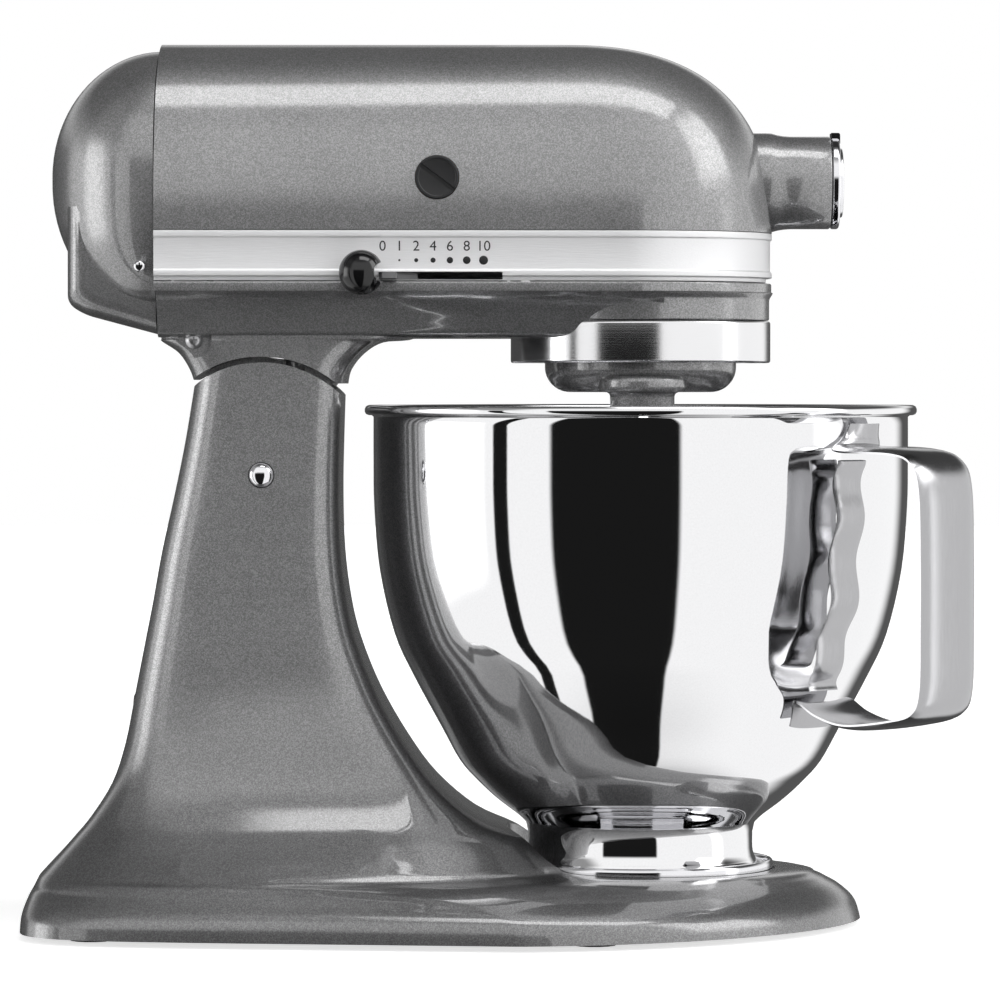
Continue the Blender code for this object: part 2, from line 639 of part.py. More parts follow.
def vent_skirt(name, inset, start):
    half = 0.0450 - inset
    back = -0.2272 + inset
    outline = [
        (start, 0.2860), (back, 0.2860), (back, 0.2500), (back + 0.0014, 0.2462 + inset * 0.6),
        (-0.2219 + inset * 0.7, 0.2440 + inset), (start, 0.2358 + inset),
    ]
    edge = [(half - 0.005, 0.0), (half - 0.0015, 0.0012), (half, 0.004)]
    rings = []
    for y, squeeze in [(-y, squeeze) for y, squeeze in reversed(edge)] + edge:
        ring = []
        for x, z in outline:
            ring.append((x + (squeeze if x < start - 0.001 else 0), y, z + (squeeze if z < 0.28 else 0)))
        rings.append(ring)
    return loft(name, rings)


def make_rear_cover():
    start = HEAD_REAR_X - GAP
    cover = part("rear_cover", dome("rear_cover", 0.0, start), PAINT, HEAD)
    weld(cover, vent_skirt("vent_skirt", 0.0, start))
    carve(cover, dome("dome_hollow", SHELL, start + 0.004))
    carve(cover, vent_skirt("skirt_hollow", SHELL, start + 0.004))
    for i in range(7):
        y = -0.030 + 0.010 * i
        carve(cover, box(f"vent_{i + 1}", (-0.2180, y - 0.002, 0.2300), (-0.2000, y + 0.002, 0.2520)))
    carve(cover, rod("cover_screw_hole", 0.0016, (-0.1965, -0.070, 0.2622), 0.02, "Y", segments=12))
    screw = [(0, 0.0014), (0.0016, 0.0012), (0.0025, 0.0), (0.0012, 0.0), (0.0012, -0.0070), (0, -0.0070)]
    obj = turned("rear_cover_screw", screw, CHROME, HEAD, (-0.1965, -0.0636, 0.2622), segments=16)
    obj.rotation_euler = (math.pi / 2, 0, 0)


# ---------------------------------------------------------------- gears


def gear_outline(teeth, root, tip, phase, root_share=0.66, tip_share=0.30):
    """Straight-flanked teeth: each takes tip_share of the pitch at its tip and root_share at its root."""
    pitch = 2 * math.pi / teeth
    points = []
    for i in range(teeth):
        middle = phase + i * pitch
        for share, radius in ((-root_share, root), (-tip_share, tip), (tip_share, tip), (root_share, root)):
            a = middle + share * pitch / 2
            points.append((radius * math.cos(a), radius * math.sin(a)))
    return points


def gear(name, teeth, low, high, phase, centre, bore, spec, joint):
    pitch_r = teeth * GEAR_MODULE / 2
    outline = gear_outline(teeth, pitch_r - 0.0013, pitch_r + 0.0008, phase)
    outline = [(x + centre[0], y + centre[1]) for x, y in outline]
    body = part(name, prism(name, outline, low, high, "XY"), spec, joint)
    if bore:
        carve(body, rod(f"{name}_bore", bore, (*centre, low - 0.01), 0.04, segments=24))
    return body


def make_gears():
    planet_z, upper_z = (0.2291, 0.2377), (0.2460, 0.2540)
    ring = part("ring_gear", rod("ring_gear", 0.0450, (0, 0, 0.2289), 0.0090, segments=28), STEEL, HEAD)
    inner = gear_outline(60, 0.0375 + 0.0013, 0.0375 - 0.0008, math.radians(-90) + math.pi / 60)
    carve(ring, prism("ring_teeth", inner, 0.2280, 0.2390, "XY"))
    planet_phase = math.radians(-90)
    gear("agitator_pinion", 15, *planet_z, planet_phase, (0, -PLANET_E), 0.0056, STEEL, AGITATOR)
    to_jack = math.atan2(JACK_XY[1], JACK_XY[0])
    gear("centre_gear", 42, *upper_z, to_jack, (0, 0), 0.0063, STEEL, PLANETARY)
    pinion = gear("jackshaft", 14, *upper_z, to_jack + math.pi + math.pi / 14, JACK_XY, None, STEEL, JACK)
    weld(pinion, rod("jack_spindle", 0.0050, (*JACK_XY, 0.2445), 0.0655, segments=20))


def make_drive():
    edge = [(0.0383, 0.2226), (0.0374, 0.2188), (0.0350, 0.2155), (0.0318, 0.2136), (0.0283, 0.2131)]
    profile = [(0, 0.2280), (0.0383, 0.2280)] + edge + [(0, 0.2131)]
    hub = turned("planetary_hub", profile, PAINT, PLANETARY, segments=32)
    carve(hub, rod("shaft_bore", 0.0063, (0, 0, 0.2170), 0.02, segments=18))
    boss = [
        (0, 0.2200), (0.0150, 0.2200), (0.0150, 0.2131), (0.0134, 0.2115), (0.01275, 0.2090),
        (0.01275, 0.2000), (0, 0.2000),
    ]
    join(hub, turned("boss", boss, None, None, (0, -PLANET_E, 0), segments=22, is_tool=True))
    carve(hub, rod("agitator_bore", 0.0063, (0, -PLANET_E, 0.19), 0.05, segments=18))
    shaft = [
        (0, 0.2886), (0.0078, 0.2886), (0.0135, 0.2829), (0.0135, 0.2808), (0.0060, 0.2808),
        (0.0060, 0.2173), (0, 0.2173),
    ]
    turned("centre_shaft", shaft, STEEL, PLANETARY, segments=24)
    spindle = disc(0.0053, 0.1720, 0.2384, 0.0004)
    shaft = turned("agitator_shaft", spindle, STEEL, AGITATOR, (0, -PLANET_E, 0), segments=16)
    weld(shaft, rod("drive_pin", 0.0019, (-0.0088, -PLANET_E, 0.1860), 0.0176, "X", segments=12))
    wheel = tube(0.0053, 0.0203, 0.2910, 0.3030)
    turned("worm_wheel", wheel, BRONZE, JACK, (*JACK_XY, 0), segments=32)
    turned("bearing_plate", tube(0.0064, 0.0470, 0.2400, 0.2440), STEEL, HEAD, segments=36)


def make_hub_drive():
    profile = [
        (0, 0.0740), (0.0120, 0.0740), (0.0120, 0.0500), (0.0060, 0.0500), (0.0060, 0.0160),
        (0.0135, 0.0160), (0.0135, 0.0139), (0.0078, 0.0082), (0, 0.0082),
    ]
    drive = turned("hub_drive", profile, STEEL, HUB_DRIVE, (0, 0, MOTOR_Z), "X", 24)
    half = 0.0053
    low, high = (0.0560, -half, MOTOR_Z - half), (0.0800, half, MOTOR_Z + half)
    carve(drive, box("hub_socket", low, high))
    sleeve = tube(0.0123, 0.0147, 0.0500, 0.0742)
    bushing = turned("hub_bushing", sleeve, BRONZE, HEAD, (0, 0, MOTOR_Z), "X", 32)
    carve(bushing, rod("bushing_hole", 0.0034, (0.0660, 0.010, MOTOR_Z), 0.01, "Y", segments=16))
    cap = [
        (0, 0.0046), (0.0135, 0.0046), (0.0140, 0.0040), (0.0140, 0.0034), (0.0179, 0.0032),
        (0.0185, 0.0026), (0.0185, 0.0), (0, 0.0),
    ]
    cover = turned("hub_cover", cap, CHROME, HUB_COVER, (HUB_END + GAP, 0, MOTOR_Z), "X", 26)
    low, high = (HUB_END + GAP, -0.0060, MOTOR_Z + 0.0160), (HUB_END + 0.0035, 0.0060, MOTOR_Z + 0.0198)
    weld(cover, box("cover_lug", low, high))
    knob = [
        (0, 0.0120), (0.0070, 0.0120), (0.0086, 0.0110), (0.0090, 0.0095), (0.0090, 0.0020),
        (0.0080, 0.0), (0.0030, 0.0), (0.0030, -0.0055), (0, -0.0055),
    ]
    obj = turned("attachment_knob", knob, BLACK, ATTACH_KNOB, (0.0660, 0.0195, MOTOR_Z), segments=20)
    obj.rotation_euler = (-math.pi / 2, 0, 0)


# ---------------------------------------------------------------- motor


def make_motor():
    centre = (0, 0, MOTOR_Z)
    shaft = [
        (0, -0.0080), (0.0070, -0.0080), (0.0070, -0.0380), (0.0040, -0.0380), (0.0040, -0.2080),
        (0, -0.2080),
    ]
    turned("armature_shaft", shaft, STEEL, ARMATURE, centre, "X", 24)
    turned("armature_core", tube(0.0043, 0.0255, -0.1650, -0.1100), COPPER, ARMATURE, centre, "X", 28)
    turned("commutator", tube(0.0043, 0.0160, -0.0900, -0.0720), COPPER, ARMATURE, centre, "X", 24)
    fan = turned("cooling_fan", tube(0.0043, 0.0100, -0.1850, -0.1770), NYLON, ARMATURE, centre, "X", 24)
    for i in range(8):
        mesh = box(f"fan_blade_{i + 1}", (-0.1848, -0.0008, 0.0080), (-0.1772, 0.0008, 0.0380))
        blade = tool(mesh.name, mesh)
        blade.location = centre
        blade.rotation_euler = (2 * math.pi * i / 8, 0, 0)
        join(fan, blade)
    turned("field_stator", tube(0.0270, 0.0470, -0.1650, -0.1050), STEEL, HEAD, centre, "X", 28)
    turned("rear_bearing", tube(0.0043, 0.0110, -0.2060, -0.1980), STEEL, HEAD, centre, "X", 28)
    bracket = [
        (0.0420, -0.0480), (0.0420, -0.0520), (0.0110, -0.0540), (0.0043, -0.0540), (0.0043, -0.0460),
        (0.0110, -0.0460),
    ]
    turned("front_bearing", bracket, STEEL, HEAD, centre, "X", 24)
    turned("speed_control_plate", tube(0.0110, 0.0400, -0.1735, -0.1715), CARBON, HEAD, centre, "X", 24)
    for side, word in ((-1, "left"), (1, "right")):
        port = (PORT_X, 0, MOTOR_Z)
        turn = (-side * math.pi / 2, 0, 0)
        cap = [
            (0, 0.0634), (0.0078, 0.0634), (0.0084, 0.0628), (0.0084, 0.0600), (0.0066, 0.0600),
            (0.0066, 0.0560), (0, 0.0560),
        ]
        obj = turned(f"brush_cap_{word}", cap, BLACK, HEAD, port, segments=24)
        obj.rotation_euler = turn
        mesh = box(f"cap_slot_{word}", (-0.0070, -0.0007, 0.0616), (0.0070, 0.0007, 0.0650))
        slot = tool(mesh.name, mesh)
        slant = Matrix.Rotation(math.radians(-side * 37), 4, "Z")
        slot.matrix_basis = Matrix.Translation(port) @ Matrix.Rotation(turn[0], 4, "X") @ slant
        cut(obj, slot)
        holder = tube(0.0060, 0.0074, 0.0190, 0.0555)
        obj = turned(f"brush_holder_{word}", holder, BRONZE, HEAD, port, segments=16)
        obj.rotation_euler = turn
        y = sorted((side * 0.0164, side * 0.0320))
        brush = box(f"carbon_brush_{word}", (-0.0038, y[0], -0.0038), (0.0038, y[1], 0.0038))
        part(f"carbon_brush_{word}", brush, CARBON, HEAD, port)
        spring = coil(f"brush_spring_{word}", 0.0040, 0.00035, 0.0330, 0.0545, 3, side)
        part(f"brush_spring_{word}", spring, STEEL, HEAD, port)


def coil(name, radius, wire, start, end, turns, side):
    """A compression spring along Y, as a poly curve turned into a mesh with welded caps."""
    steps = turns * 8
    curve = bpy.data.curves.new(name, "CURVE")
    curve.dimensions = "3D"
    curve.bevel_depth = wire
    curve.bevel_resolution = 0
    curve.use_fill_caps = True
    spline = curve.splines.new("POLY")
    spline.points.add(steps)
    for i in range(steps + 1):
        a = 2 * math.pi * turns * i / steps
        y = side * mix(start, end, i / steps)
        spline.points[i].co = (radius * math.cos(a), y, radius * math.sin(a), 1)
    guide = bpy.data.objects.new(name, curve)
    TOOLS.objects.link(guide)
    bpy.context.view_layer.update()
    found = guide.evaluated_get(bpy.context.evaluated_depsgraph_get())
    mesh = bpy.data.meshes.new_from_object(found)
    bpy.data.objects.remove(guide)
    bm = bmesh.new()
    bm.from_mesh(mesh)
    return finish_mesh(name, bm, 1e-5)


# ---------------------------------------------------------------- levers


def make_levers():
    arm = [
        (-0.1450, -0.0585), (-0.1020, -0.0585), (-0.1020, -0.0742), (-0.0965, -0.0742),
        (-0.0965, -0.0585), (-0.0884, -0.0585), (-0.0884, -0.0565), (-0.1450, -0.0565),
    ]
    part("speed_arm", prism("speed_arm", arm, 0.2573, 0.2597, "XY"), STEEL, SPEED)
    bm = bmesh.new()
    bmesh.ops.create_uvsphere(bm, u_segments=16, v_segments=10, radius=0.00875)
    knob = part("speed_knob", finish_mesh("speed_knob", bm), BLACK, SPEED, (-0.1100, -0.0738, 0.2595))
    carve(knob, box("knob_flat", (-0.1024, -0.09, 0.24), (-0.09, -0.05, 0.28)))
    carve(knob, rod("knob_scoop", 0.0042, (-0.1008, -0.09, 0.2595), 0.05, "Y", segments=24))
    carve(knob, box("knob_back", (-0.13, -0.0662, 0.24), (-0.09, -0.05, 0.28)))
    arm = [
        (-0.1545, 0.0345), (-0.1460, 0.0345), (-0.1460, 0.0565), (-0.0570, 0.0565), (-0.0570, 0.0742),
        (-0.0630, 0.0742), (-0.0630, 0.0585), (-0.1545, 0.0585),
    ]
    part("lock_arm", prism("lock_arm", arm, 0.2573, 0.2597, "XY"), STEEL, LOCK)
    profile = [(0, 0.0095), (0.0050, 0.0090), (0.0068, 0.0070), (0.0068, 0.0020), (0.0060, 0.0), (0, 0.0)]
    obj = turned("lock_knob", profile, BLACK, LOCK, (-0.0600, 0.0745, 0.2585), segments=24)
    obj.rotation_euler = (-math.pi / 2, 0, 0)
    turned("lock_pin", disc(0.0025, 0.2277, 0.2540, 0.0004), STEEL, LOCK_PIN, (PIN_X, 0.0360, 0), segments=16)
    ring = [
        (0.0510, 0.2413), (0.0520, 0.2402), (0.0520, 0.2258), (0.0514, 0.2250), (0.0495, 0.2247),
        (0.0495, 0.2413),
    ]
    turned("drip_ring", ring, SATIN, HEAD, segments=32)


# ---------------------------------------------------------------- beater


def ribbon_loop(name, points, width, thick, closed):
    """A flat bar of even width along a path in XZ."""
    line = [Vector(p) for p in points]
    count = len(line)
    rings = []
    for i, p in enumerate(line):
        ahead = line[(i + 1) % count] if closed else line[min(i + 1, count - 1)]
        behind = line[i - 1] if closed or i else line[0]
        run = (ahead - behind).normalized()
        normal = Vector((-run.y, run.x)) * width / 2
        a, b = p + normal, p - normal
        near, far = -PLANET_E - thick / 2, -PLANET_E + thick / 2
        rings.append([(a.x, near, a.y), (a.x, far, a.y), (b.x, far, b.y), (b.x, near, b.y)])
    return loft(name, rings, closed_path=closed)


def make_beater():
    half = [
        (0.0, 0.0535), (0.0120, 0.0540), (0.0210, 0.0590), (0.0310, 0.0710), (0.0430, 0.0880),
        (0.0510, 0.1060), (0.0535, 0.1220), (0.0500, 0.1350), (0.0380, 0.1430), (0.0150, 0.1500),
        (0.0, 0.1520),
    ]
    loop = half + [(-x, z) for x, z in reversed(half[1:-1])]
    sleeve = [
        (0, 0.1985), (0.0112, 0.1985), (0.0120, 0.1975), (0.0120, 0.1560), (0.0100, 0.1480),
        (0, 0.1480),
    ]
    beater = turned("flat_beater", sleeve, SATIN, AGITATOR, (0, -PLANET_E, 0), segments=20)
    weld(beater, ribbon_loop("beater_frame", loop, 0.0075, 0.0070, True))
    low, high = (-0.0035, -PLANET_E - 0.003, 0.0540), (0.0035, -PLANET_E + 0.003, 0.1500)
    weld(beater, box("beater_spine", low, high))
    for side in (-1, 1):
        rib = [(0.0, 0.0950), (side * 0.0250, 0.1120), (side * 0.0500, 0.1330)]
        weld(beater, ribbon_loop(f"beater_rib_{side}", rib, 0.0060, 0.0056, False))
    carve(beater, rod("beater_bore", 0.0058, (0, -PLANET_E, 0.1700), 0.04, segments=24))
    slot = box("beater_slot", (-0.0130, -PLANET_E - 0.0024, 0.1830), (0.0130, -PLANET_E + 0.0024, 0.1890))
    carve(beater, slot)


clear_scene()
PARTS = new_collection("stand_mixer")
TOOLS = new_collection("cutters")
MIXER = empty("mixer_frame", (BOWL_AXIS_X, 0, 0))
BOWL = empty("bowl_axis", (0, 0, 0.0221), MIXER)
HEAD = empty("head_hinge_axis", (PIN_X, 0, PIN_Z), MIXER)
SPEED = empty("speed_lever_axis", (-0.1100, -0.0738, 0.2585), MIXER)
LOCK = empty("lock_lever_axis", (-0.0600, 0.0745, 0.2585), MIXER)
LOCK_PIN = empty("lock_pin_axis", (PIN_X, 0.0360, 0.2277), MIXER)
HUB_COVER = empty("hub_cover_axis", (0.0784, 0, 0.3163), MIXER)
ATTACH_KNOB = empty("attachment_knob_axis", (0.0660, 0.0195, MOTOR_Z), MIXER)
HUB_DRIVE = empty("hub_drive_axis", (0.0500, 0, MOTOR_Z), MIXER)
PLANETARY = empty("planetary_axis", (0, 0, 0.2200), MIXER)
AGITATOR = empty("agitator_axis", (0, -PLANET_E, 0.2200), MIXER)
JACK = empty("jackshaft_axis", (*JACK_XY, 0.2700), MIXER)
ARMATURE = empty("armature_axis", (-0.1400, 0, MOTOR_Z), MIXER)

make_stand()
make_clamp_plate()
make_bowl()
make_handle()
make_upper_housing()
make_trim_band()
make_lower_housing()
make_rear_cover()
make_gears()
make_drive()
make_hub_drive()
make_motor()
make_levers()
make_beater()
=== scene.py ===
"""Looks of the tilt-head stand mixer: fine shells, procedural materials, studio light and the camera."""

import json
import math

import bmesh
import bpy
from mathutils import Matrix, Vector

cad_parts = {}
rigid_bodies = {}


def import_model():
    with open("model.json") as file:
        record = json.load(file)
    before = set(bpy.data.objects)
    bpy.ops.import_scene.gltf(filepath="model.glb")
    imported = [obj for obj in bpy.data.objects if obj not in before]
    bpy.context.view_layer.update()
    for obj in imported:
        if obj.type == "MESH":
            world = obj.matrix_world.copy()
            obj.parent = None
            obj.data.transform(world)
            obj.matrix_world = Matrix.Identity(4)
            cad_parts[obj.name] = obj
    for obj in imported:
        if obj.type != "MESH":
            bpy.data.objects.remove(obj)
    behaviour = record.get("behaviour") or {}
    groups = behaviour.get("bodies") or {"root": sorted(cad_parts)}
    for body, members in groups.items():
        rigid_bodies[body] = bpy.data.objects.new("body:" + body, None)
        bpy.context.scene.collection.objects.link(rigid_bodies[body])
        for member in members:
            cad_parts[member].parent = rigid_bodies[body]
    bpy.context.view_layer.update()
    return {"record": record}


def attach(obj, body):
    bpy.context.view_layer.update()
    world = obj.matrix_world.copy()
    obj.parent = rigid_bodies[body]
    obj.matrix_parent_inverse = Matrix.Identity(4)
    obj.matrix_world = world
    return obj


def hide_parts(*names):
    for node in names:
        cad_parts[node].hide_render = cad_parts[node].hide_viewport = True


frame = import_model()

# Lengths are in metres, in a design frame whose x = 0 is the bowl's axis.
BOWL_X = 0.0595  # where that axis is in the shared frame
PIN_X, PIN_Z = -0.1502, 0.1805
CROWN_R, ARCH_R = 0.0443, 0.0466
RIM_Z = 0.2764
MOTOR_Z = 0.2968
HEAD_REAR_X, HEAD_TOP = -0.1910, 0.0754
HEAD_REAR_W, HEAD_FRONT_W = 0.0660, 0.0610
NOSE_START, NOSE_TIP, NOSE_DROP_START = -0.0100, 0.0525, -0.0320
SHELL = 0.0030
PLANET_E = 0.028125
SCREW_RING = 0.036  # radius of the four plate screws
QUARTERS = [math.radians(45 + 90 * i) for i in range(4)]
BRUSH_X = -0.0808  # both brush caps
DOME_X, DOME_Z, DOME_REACH = -0.1905, 0.298, 0.0448
HUB_FACE_X = 0.0761  # where the hub tube ends and its cover begins
HANDLE_AZIMUTH = math.radians(-42.5)
TAU = 2 * math.pi
DEGREES = 57.29578  # in a radian

# ---------------------------------------------------------------- mesh helpers


def power(value, exponent):
    return math.copysign(abs(value) ** exponent, value)


def mix(a, b, t):
    return a + (b - a) * t


def mesh_object(name, bm, smooth_angle=35):
    """Turn a bmesh drawn in the design frame into an object in the shared frame."""
    bmesh.ops.remove_doubles(bm, verts=bm.verts, dist=1e-7)
    bmesh.ops.recalc_face_normals(bm, faces=bm.faces)
    mesh = bpy.data.meshes.new(name)
    bm.to_mesh(mesh)
    bm.free()
    mesh.transform(Matrix.Translation((BOWL_X, 0, 0)))
    mesh.shade_smooth()
    mesh.set_sharp_from_angle(angle=math.radians(smooth_angle))
    obj = bpy.data.objects.new(name, mesh)
    bpy.context.scene.collection.objects.link(obj)
    return obj


def apply_modifiers(obj, smooth_angle=35):
    bpy.context.view_layer.update()
    found = obj.evaluated_get(bpy.context.evaluated_depsgraph_get())
    mesh = bpy.data.meshes.new_from_object(found)
    obj.modifiers.clear()
    obj.data = mesh
    mesh.shade_smooth()
    mesh.set_sharp_from_angle(angle=math.radians(smooth_angle))
    return obj


def combine(obj, steps, smooth_angle=35):
    """Apply ("cut" or "join", tool) steps to an object and delete the tools."""
    for operation, other in steps:
        step = obj.modifiers.new("shape", "BOOLEAN")
        step.operation = "DIFFERENCE" if operation == "cut" else "UNION"
        step.solver = "EXACT"
        step.object = other
    apply_modifiers(obj, smooth_angle)
    for _, other in steps:
        bpy.data.objects.remove(other)
    return obj


def loft(name, rings, closed_path=False, smooth_angle=35):
    bm = bmesh.new()
    rows = [[bm.verts.new(p) for p in ring] for ring in rings]
    count = len(rows[0])
    pairs = list(zip(rows, rows[1:], strict=False))
    if closed_path:
        pairs.append((rows[-1], rows[0]))
    for low, high in pairs:
        for i in range(count):
            j = (i + 1) % count
            bm.faces.new((low[i], low[j], high[j], high[i]))
    if not closed_path:
        bm.faces.new(rows[0][::-1])
        bm.faces.new(rows[-1])
    return mesh_object(name, bm, smooth_angle)


def prism(name, outline, low, high, plane="XZ"):
    if plane == "XZ":
        return loft(name, [[(x, d, z) for x, z in outline] for d in (low, high)])
    return loft(name, [[(x, y, d) for x, y in outline] for d in (low, high)])


def box(name, low, high):
    outline = [(low[0], low[2]), (high[0], low[2]), (high[0], high[2]), (low[0], high[2])]
    return prism(name, outline, low[1], high[1])


AXES = {"Z": Matrix.Identity(4), "X": Matrix.Rotation(math.pi / 2, 4, "Y"),
        "Y": Matrix.Rotation(-math.pi / 2, 4, "X")}
AXES["-Y"] = Matrix.Rotation(math.pi / 2, 4, "X")


def turned(name, profile, at=(0, 0, 0), axis="Z", segments=96, smooth_angle=35):
    """Spin (radius, height) points about an axis."""
    closed = profile[0][0] > 0 and profile[-1][0] > 0
    place = Matrix.Translation(at) @ AXES[axis]
    bm = bmesh.new()
    rows = []
    for k in range(segments):
        a = TAU * k / segments
        rows.append([bm.verts.new(place @ Vector((r * math.cos(a), r * math.sin(a), z))) for r, z in profile])
    count = len(profile)
    for a, b in zip(rows, rows[1:] + rows[:1], strict=False):
        for i in range(count if closed else count - 1):
            j = (i + 1) % count
            if profile[i][0] == 0 and profile[j][0] == 0:
                continue
            bm.faces.new((a[i], a[j], b[j], b[i]))
    bmesh.ops.remove_doubles(bm, verts=bm.verts, dist=1e-7)
    return mesh_object(name, bm, smooth_angle)


def rod(name, radius, start, length, axis="Z", segments=64):
    return turned(name, [(0, length), (radius, length), (radius, 0), (0, 0)], start, axis, segments)


def smooth_path(points, per_span):
    """Points along a Catmull-Rom curve through points of any dimension."""
    ends = [points[0], *points, points[-1]]
    out = []
    for i in range(len(points) - 1):
        quad = ends[i : i + 4]
        for s in range(per_span):
            t = s / per_span
            out.append(tuple(
                0.5 * (2 * b + (c - a) * t + (2 * a - 5 * b + 4 * c - d) * t**2 + (3 * b - a - 3 * c + d) * t**3)
                for a, b, c, d in zip(*quad, strict=False)
            ))
    out.append(tuple(points[-1]))
    return out


def rounded(profile, radius, steps=5):
    """Round the corners of an open (radius, height) profile."""
    out = [profile[0]]
    for before, here, after in zip(profile, profile[1:], profile[2:], strict=False):
        p, a, b = Vector(here), Vector(before), Vector(after)
        reach = min(radius, (a - p).length * 0.45, (b - p).length * 0.45)
        start, end = p + (a - p).normalized() * reach, p + (b - p).normalized() * reach
        for k in range(steps + 1):
            t = k / steps
            out.append(tuple(start * (1 - t) ** 2 + p * 2 * t * (1 - t) + end * t**2))
    out.append(profile[-1])
    return out


def sector(radius_in, radius_out, start, end, steps=48):
    angles = [math.radians(mix(start, end, i / steps)) for i in range(steps + 1)]
    outer = [(PIN_X + radius_out * math.cos(a), PIN_Z + radius_out * math.sin(a)) for a in angles]
    if radius_in <= 0:
        return [(PIN_X, PIN_Z), *outer]
    inner = [(PIN_X + radius_in * math.cos(a), PIN_Z + radius_in * math.sin(a)) for a in angles]
    return outer + inner[::-1]


# ---------------------------------------------------------------- materials


class Nodes:
    """A small helper that adds and links shader nodes."""

    def __init__(self, tree):
        self.tree = tree

    def add(self, kind, **inputs):
        node = self.tree.nodes.new(kind)
        for key, value in inputs.items():
            spaced = key.replace("_", " ")
            self.set(node.inputs[spaced if spaced in node.inputs else key], value)
        return node

    def set(self, socket, value):
        if isinstance(value, bpy.types.NodeSocket):
            self.tree.links.new(value, socket)
        else:
            socket.default_value = value

    def math(self, operation, a, b=0.0, c=None):
        node = self.tree.nodes.new("ShaderNodeMath")
        node.operation = operation
        self.set(node.inputs[0], a)
        self.set(node.inputs[1], b)
        if c is not None:
            self.set(node.inputs[2], c)
        return node.outputs[0]

    def spread(self, value, low, high, to_low=0.0, to_high=1.0, smooth=False):
        node = self.tree.nodes.new("ShaderNodeMapRange")
        node.interpolation_type = "SMOOTHSTEP" if smooth else "LINEAR"
        for socket, v in zip(node.inputs, (value, low, high, to_low, to_high), strict=False):
            self.set(socket, v)
        return node.outputs[0]

    def colours(self, factor, first, second):
        node = self.tree.nodes.new("ShaderNodeMix")
        node.data_type = "RGBA"
        self.set(node.inputs[0], factor)
        self.set(node.inputs[6], (*first, 1.0))
        self.set(node.inputs[7], (*second, 1.0))
        return node.outputs[2]

    def place(self, stretch=(1, 1, 1)):
        coords = self.tree.nodes.new("ShaderNodeTexCoord")
        move = self.add("ShaderNodeMapping", Vector=coords.outputs["Object"], Scale=stretch)
        return move.outputs[0]

    def noise(self, vector, scale, detail=2.0, rough=0.5):
        node = self.add("ShaderNodeTexNoise", Vector=vector, Scale=scale, Detail=detail, Roughness=rough)
        return node.outputs["Fac"]

    def bump(self, height, strength, distance, normal=None):
        node = self.add("ShaderNodeBump", Height=height, Strength=strength, Distance=distance)
        if normal:
            self.set(node.inputs["Normal"], normal)
        return node.outputs[0]


def new_material(name, **values):
    made = bpy.data.materials.new(name)
    made.use_nodes = True
    nodes = Nodes(made.node_tree)
    shader = made.node_tree.nodes["Principled BSDF"]
    for key, value in values.items():
        shader.inputs[key.replace("_", " ")].default_value = value
    return made, nodes, shader


def paint_material():
    """Graphite metallic paint: dark base, fine bright flakes, gloss clear coat with faint orange peel, and
    painted shade and light that change with height.
    """
    made, n, shader = new_material("graphite_paint", Metallic=0.7, Coat_Weight=1.0, Coat_Roughness=0.04,
                                   Coat_IOR=1.75)
    at = n.place()
    flake = n.add("ShaderNodeTexVoronoi", Vector=at, Scale=2600.0)
    glint = n.spread(flake.outputs["Color"], 0.25, 0.95)
    cloud = n.noise(at, 35.0, 3.0)
    shade = n.math("ADD", n.math("MULTIPLY", glint, 0.62), n.math("MULTIPLY", cloud, 0.18))
    # Painted shade and light: the base colour is darkened towards the bottom of the stand and lightened on the
    # upper column, then scaled back down above 0.21 m so the head stays near its plain colour.
    height = n.add("ShaderNodeSeparateXYZ", Vector=at).outputs[2]
    rise = n.spread(height, 0.03, 0.15, 0.70, 1.15, smooth=True)
    level = n.math("MULTIPLY", rise, n.spread(height, 0.21, 0.25, 1.0, 0.87, smooth=True))
    painted_light_and_shade = made.node_tree.nodes.new("ShaderNodeVectorMath")
    painted_light_and_shade.operation = "SCALE"
    n.set(painted_light_and_shade.inputs[0], n.colours(shade, (0.15, 0.15, 0.152), (0.47, 0.47, 0.475)))
    n.set(painted_light_and_shade.inputs["Scale"], level)
    n.set(shader.inputs["Base Color"], painted_light_and_shade.outputs[0])
    n.set(shader.inputs["Roughness"], n.spread(glint, 0, 1, 0.46, 0.36))
    grain = n.bump(n.noise(at, 3200.0, 1.0), 0.10, 0.0003)
    n.set(shader.inputs["Normal"], grain)
    peel = n.bump(n.noise(at, 260.0, 1.0), 0.012, 0.0006)
    n.set(shader.inputs["Coat Normal"], peel)
    return made


def metal_material(name, colour, rough, stretch=None, scale=900.0, lines=0.05, spread=0.08, marks=0.02,
                   aniso=0.0, metallic=1.0):
    """A metal with fine lines along one direction, faint smears and a little wear."""
    made, n, shader = new_material(name, Metallic=metallic)
    if aniso:
        shader.inputs["Anisotropic"].default_value = aniso
    at = n.place(stretch or (1, 1, 1))
    fine = n.noise(at, scale, 3.0, 0.6)
    smear = n.noise(n.place(), 28.0, 3.0)
    dark = tuple(c * 0.90 for c in colour)
    n.set(shader.inputs["Base Color"], n.colours(fine, dark, colour))
    level = n.math("ADD", n.spread(fine, 0.3, 0.7, rough - spread / 2, rough + spread / 2),
                   n.math("MULTIPLY", smear, marks))
    n.set(shader.inputs["Roughness"], level)
    if lines:
        n.set(shader.inputs["Normal"], n.bump(fine, lines, 0.0002))
    return made


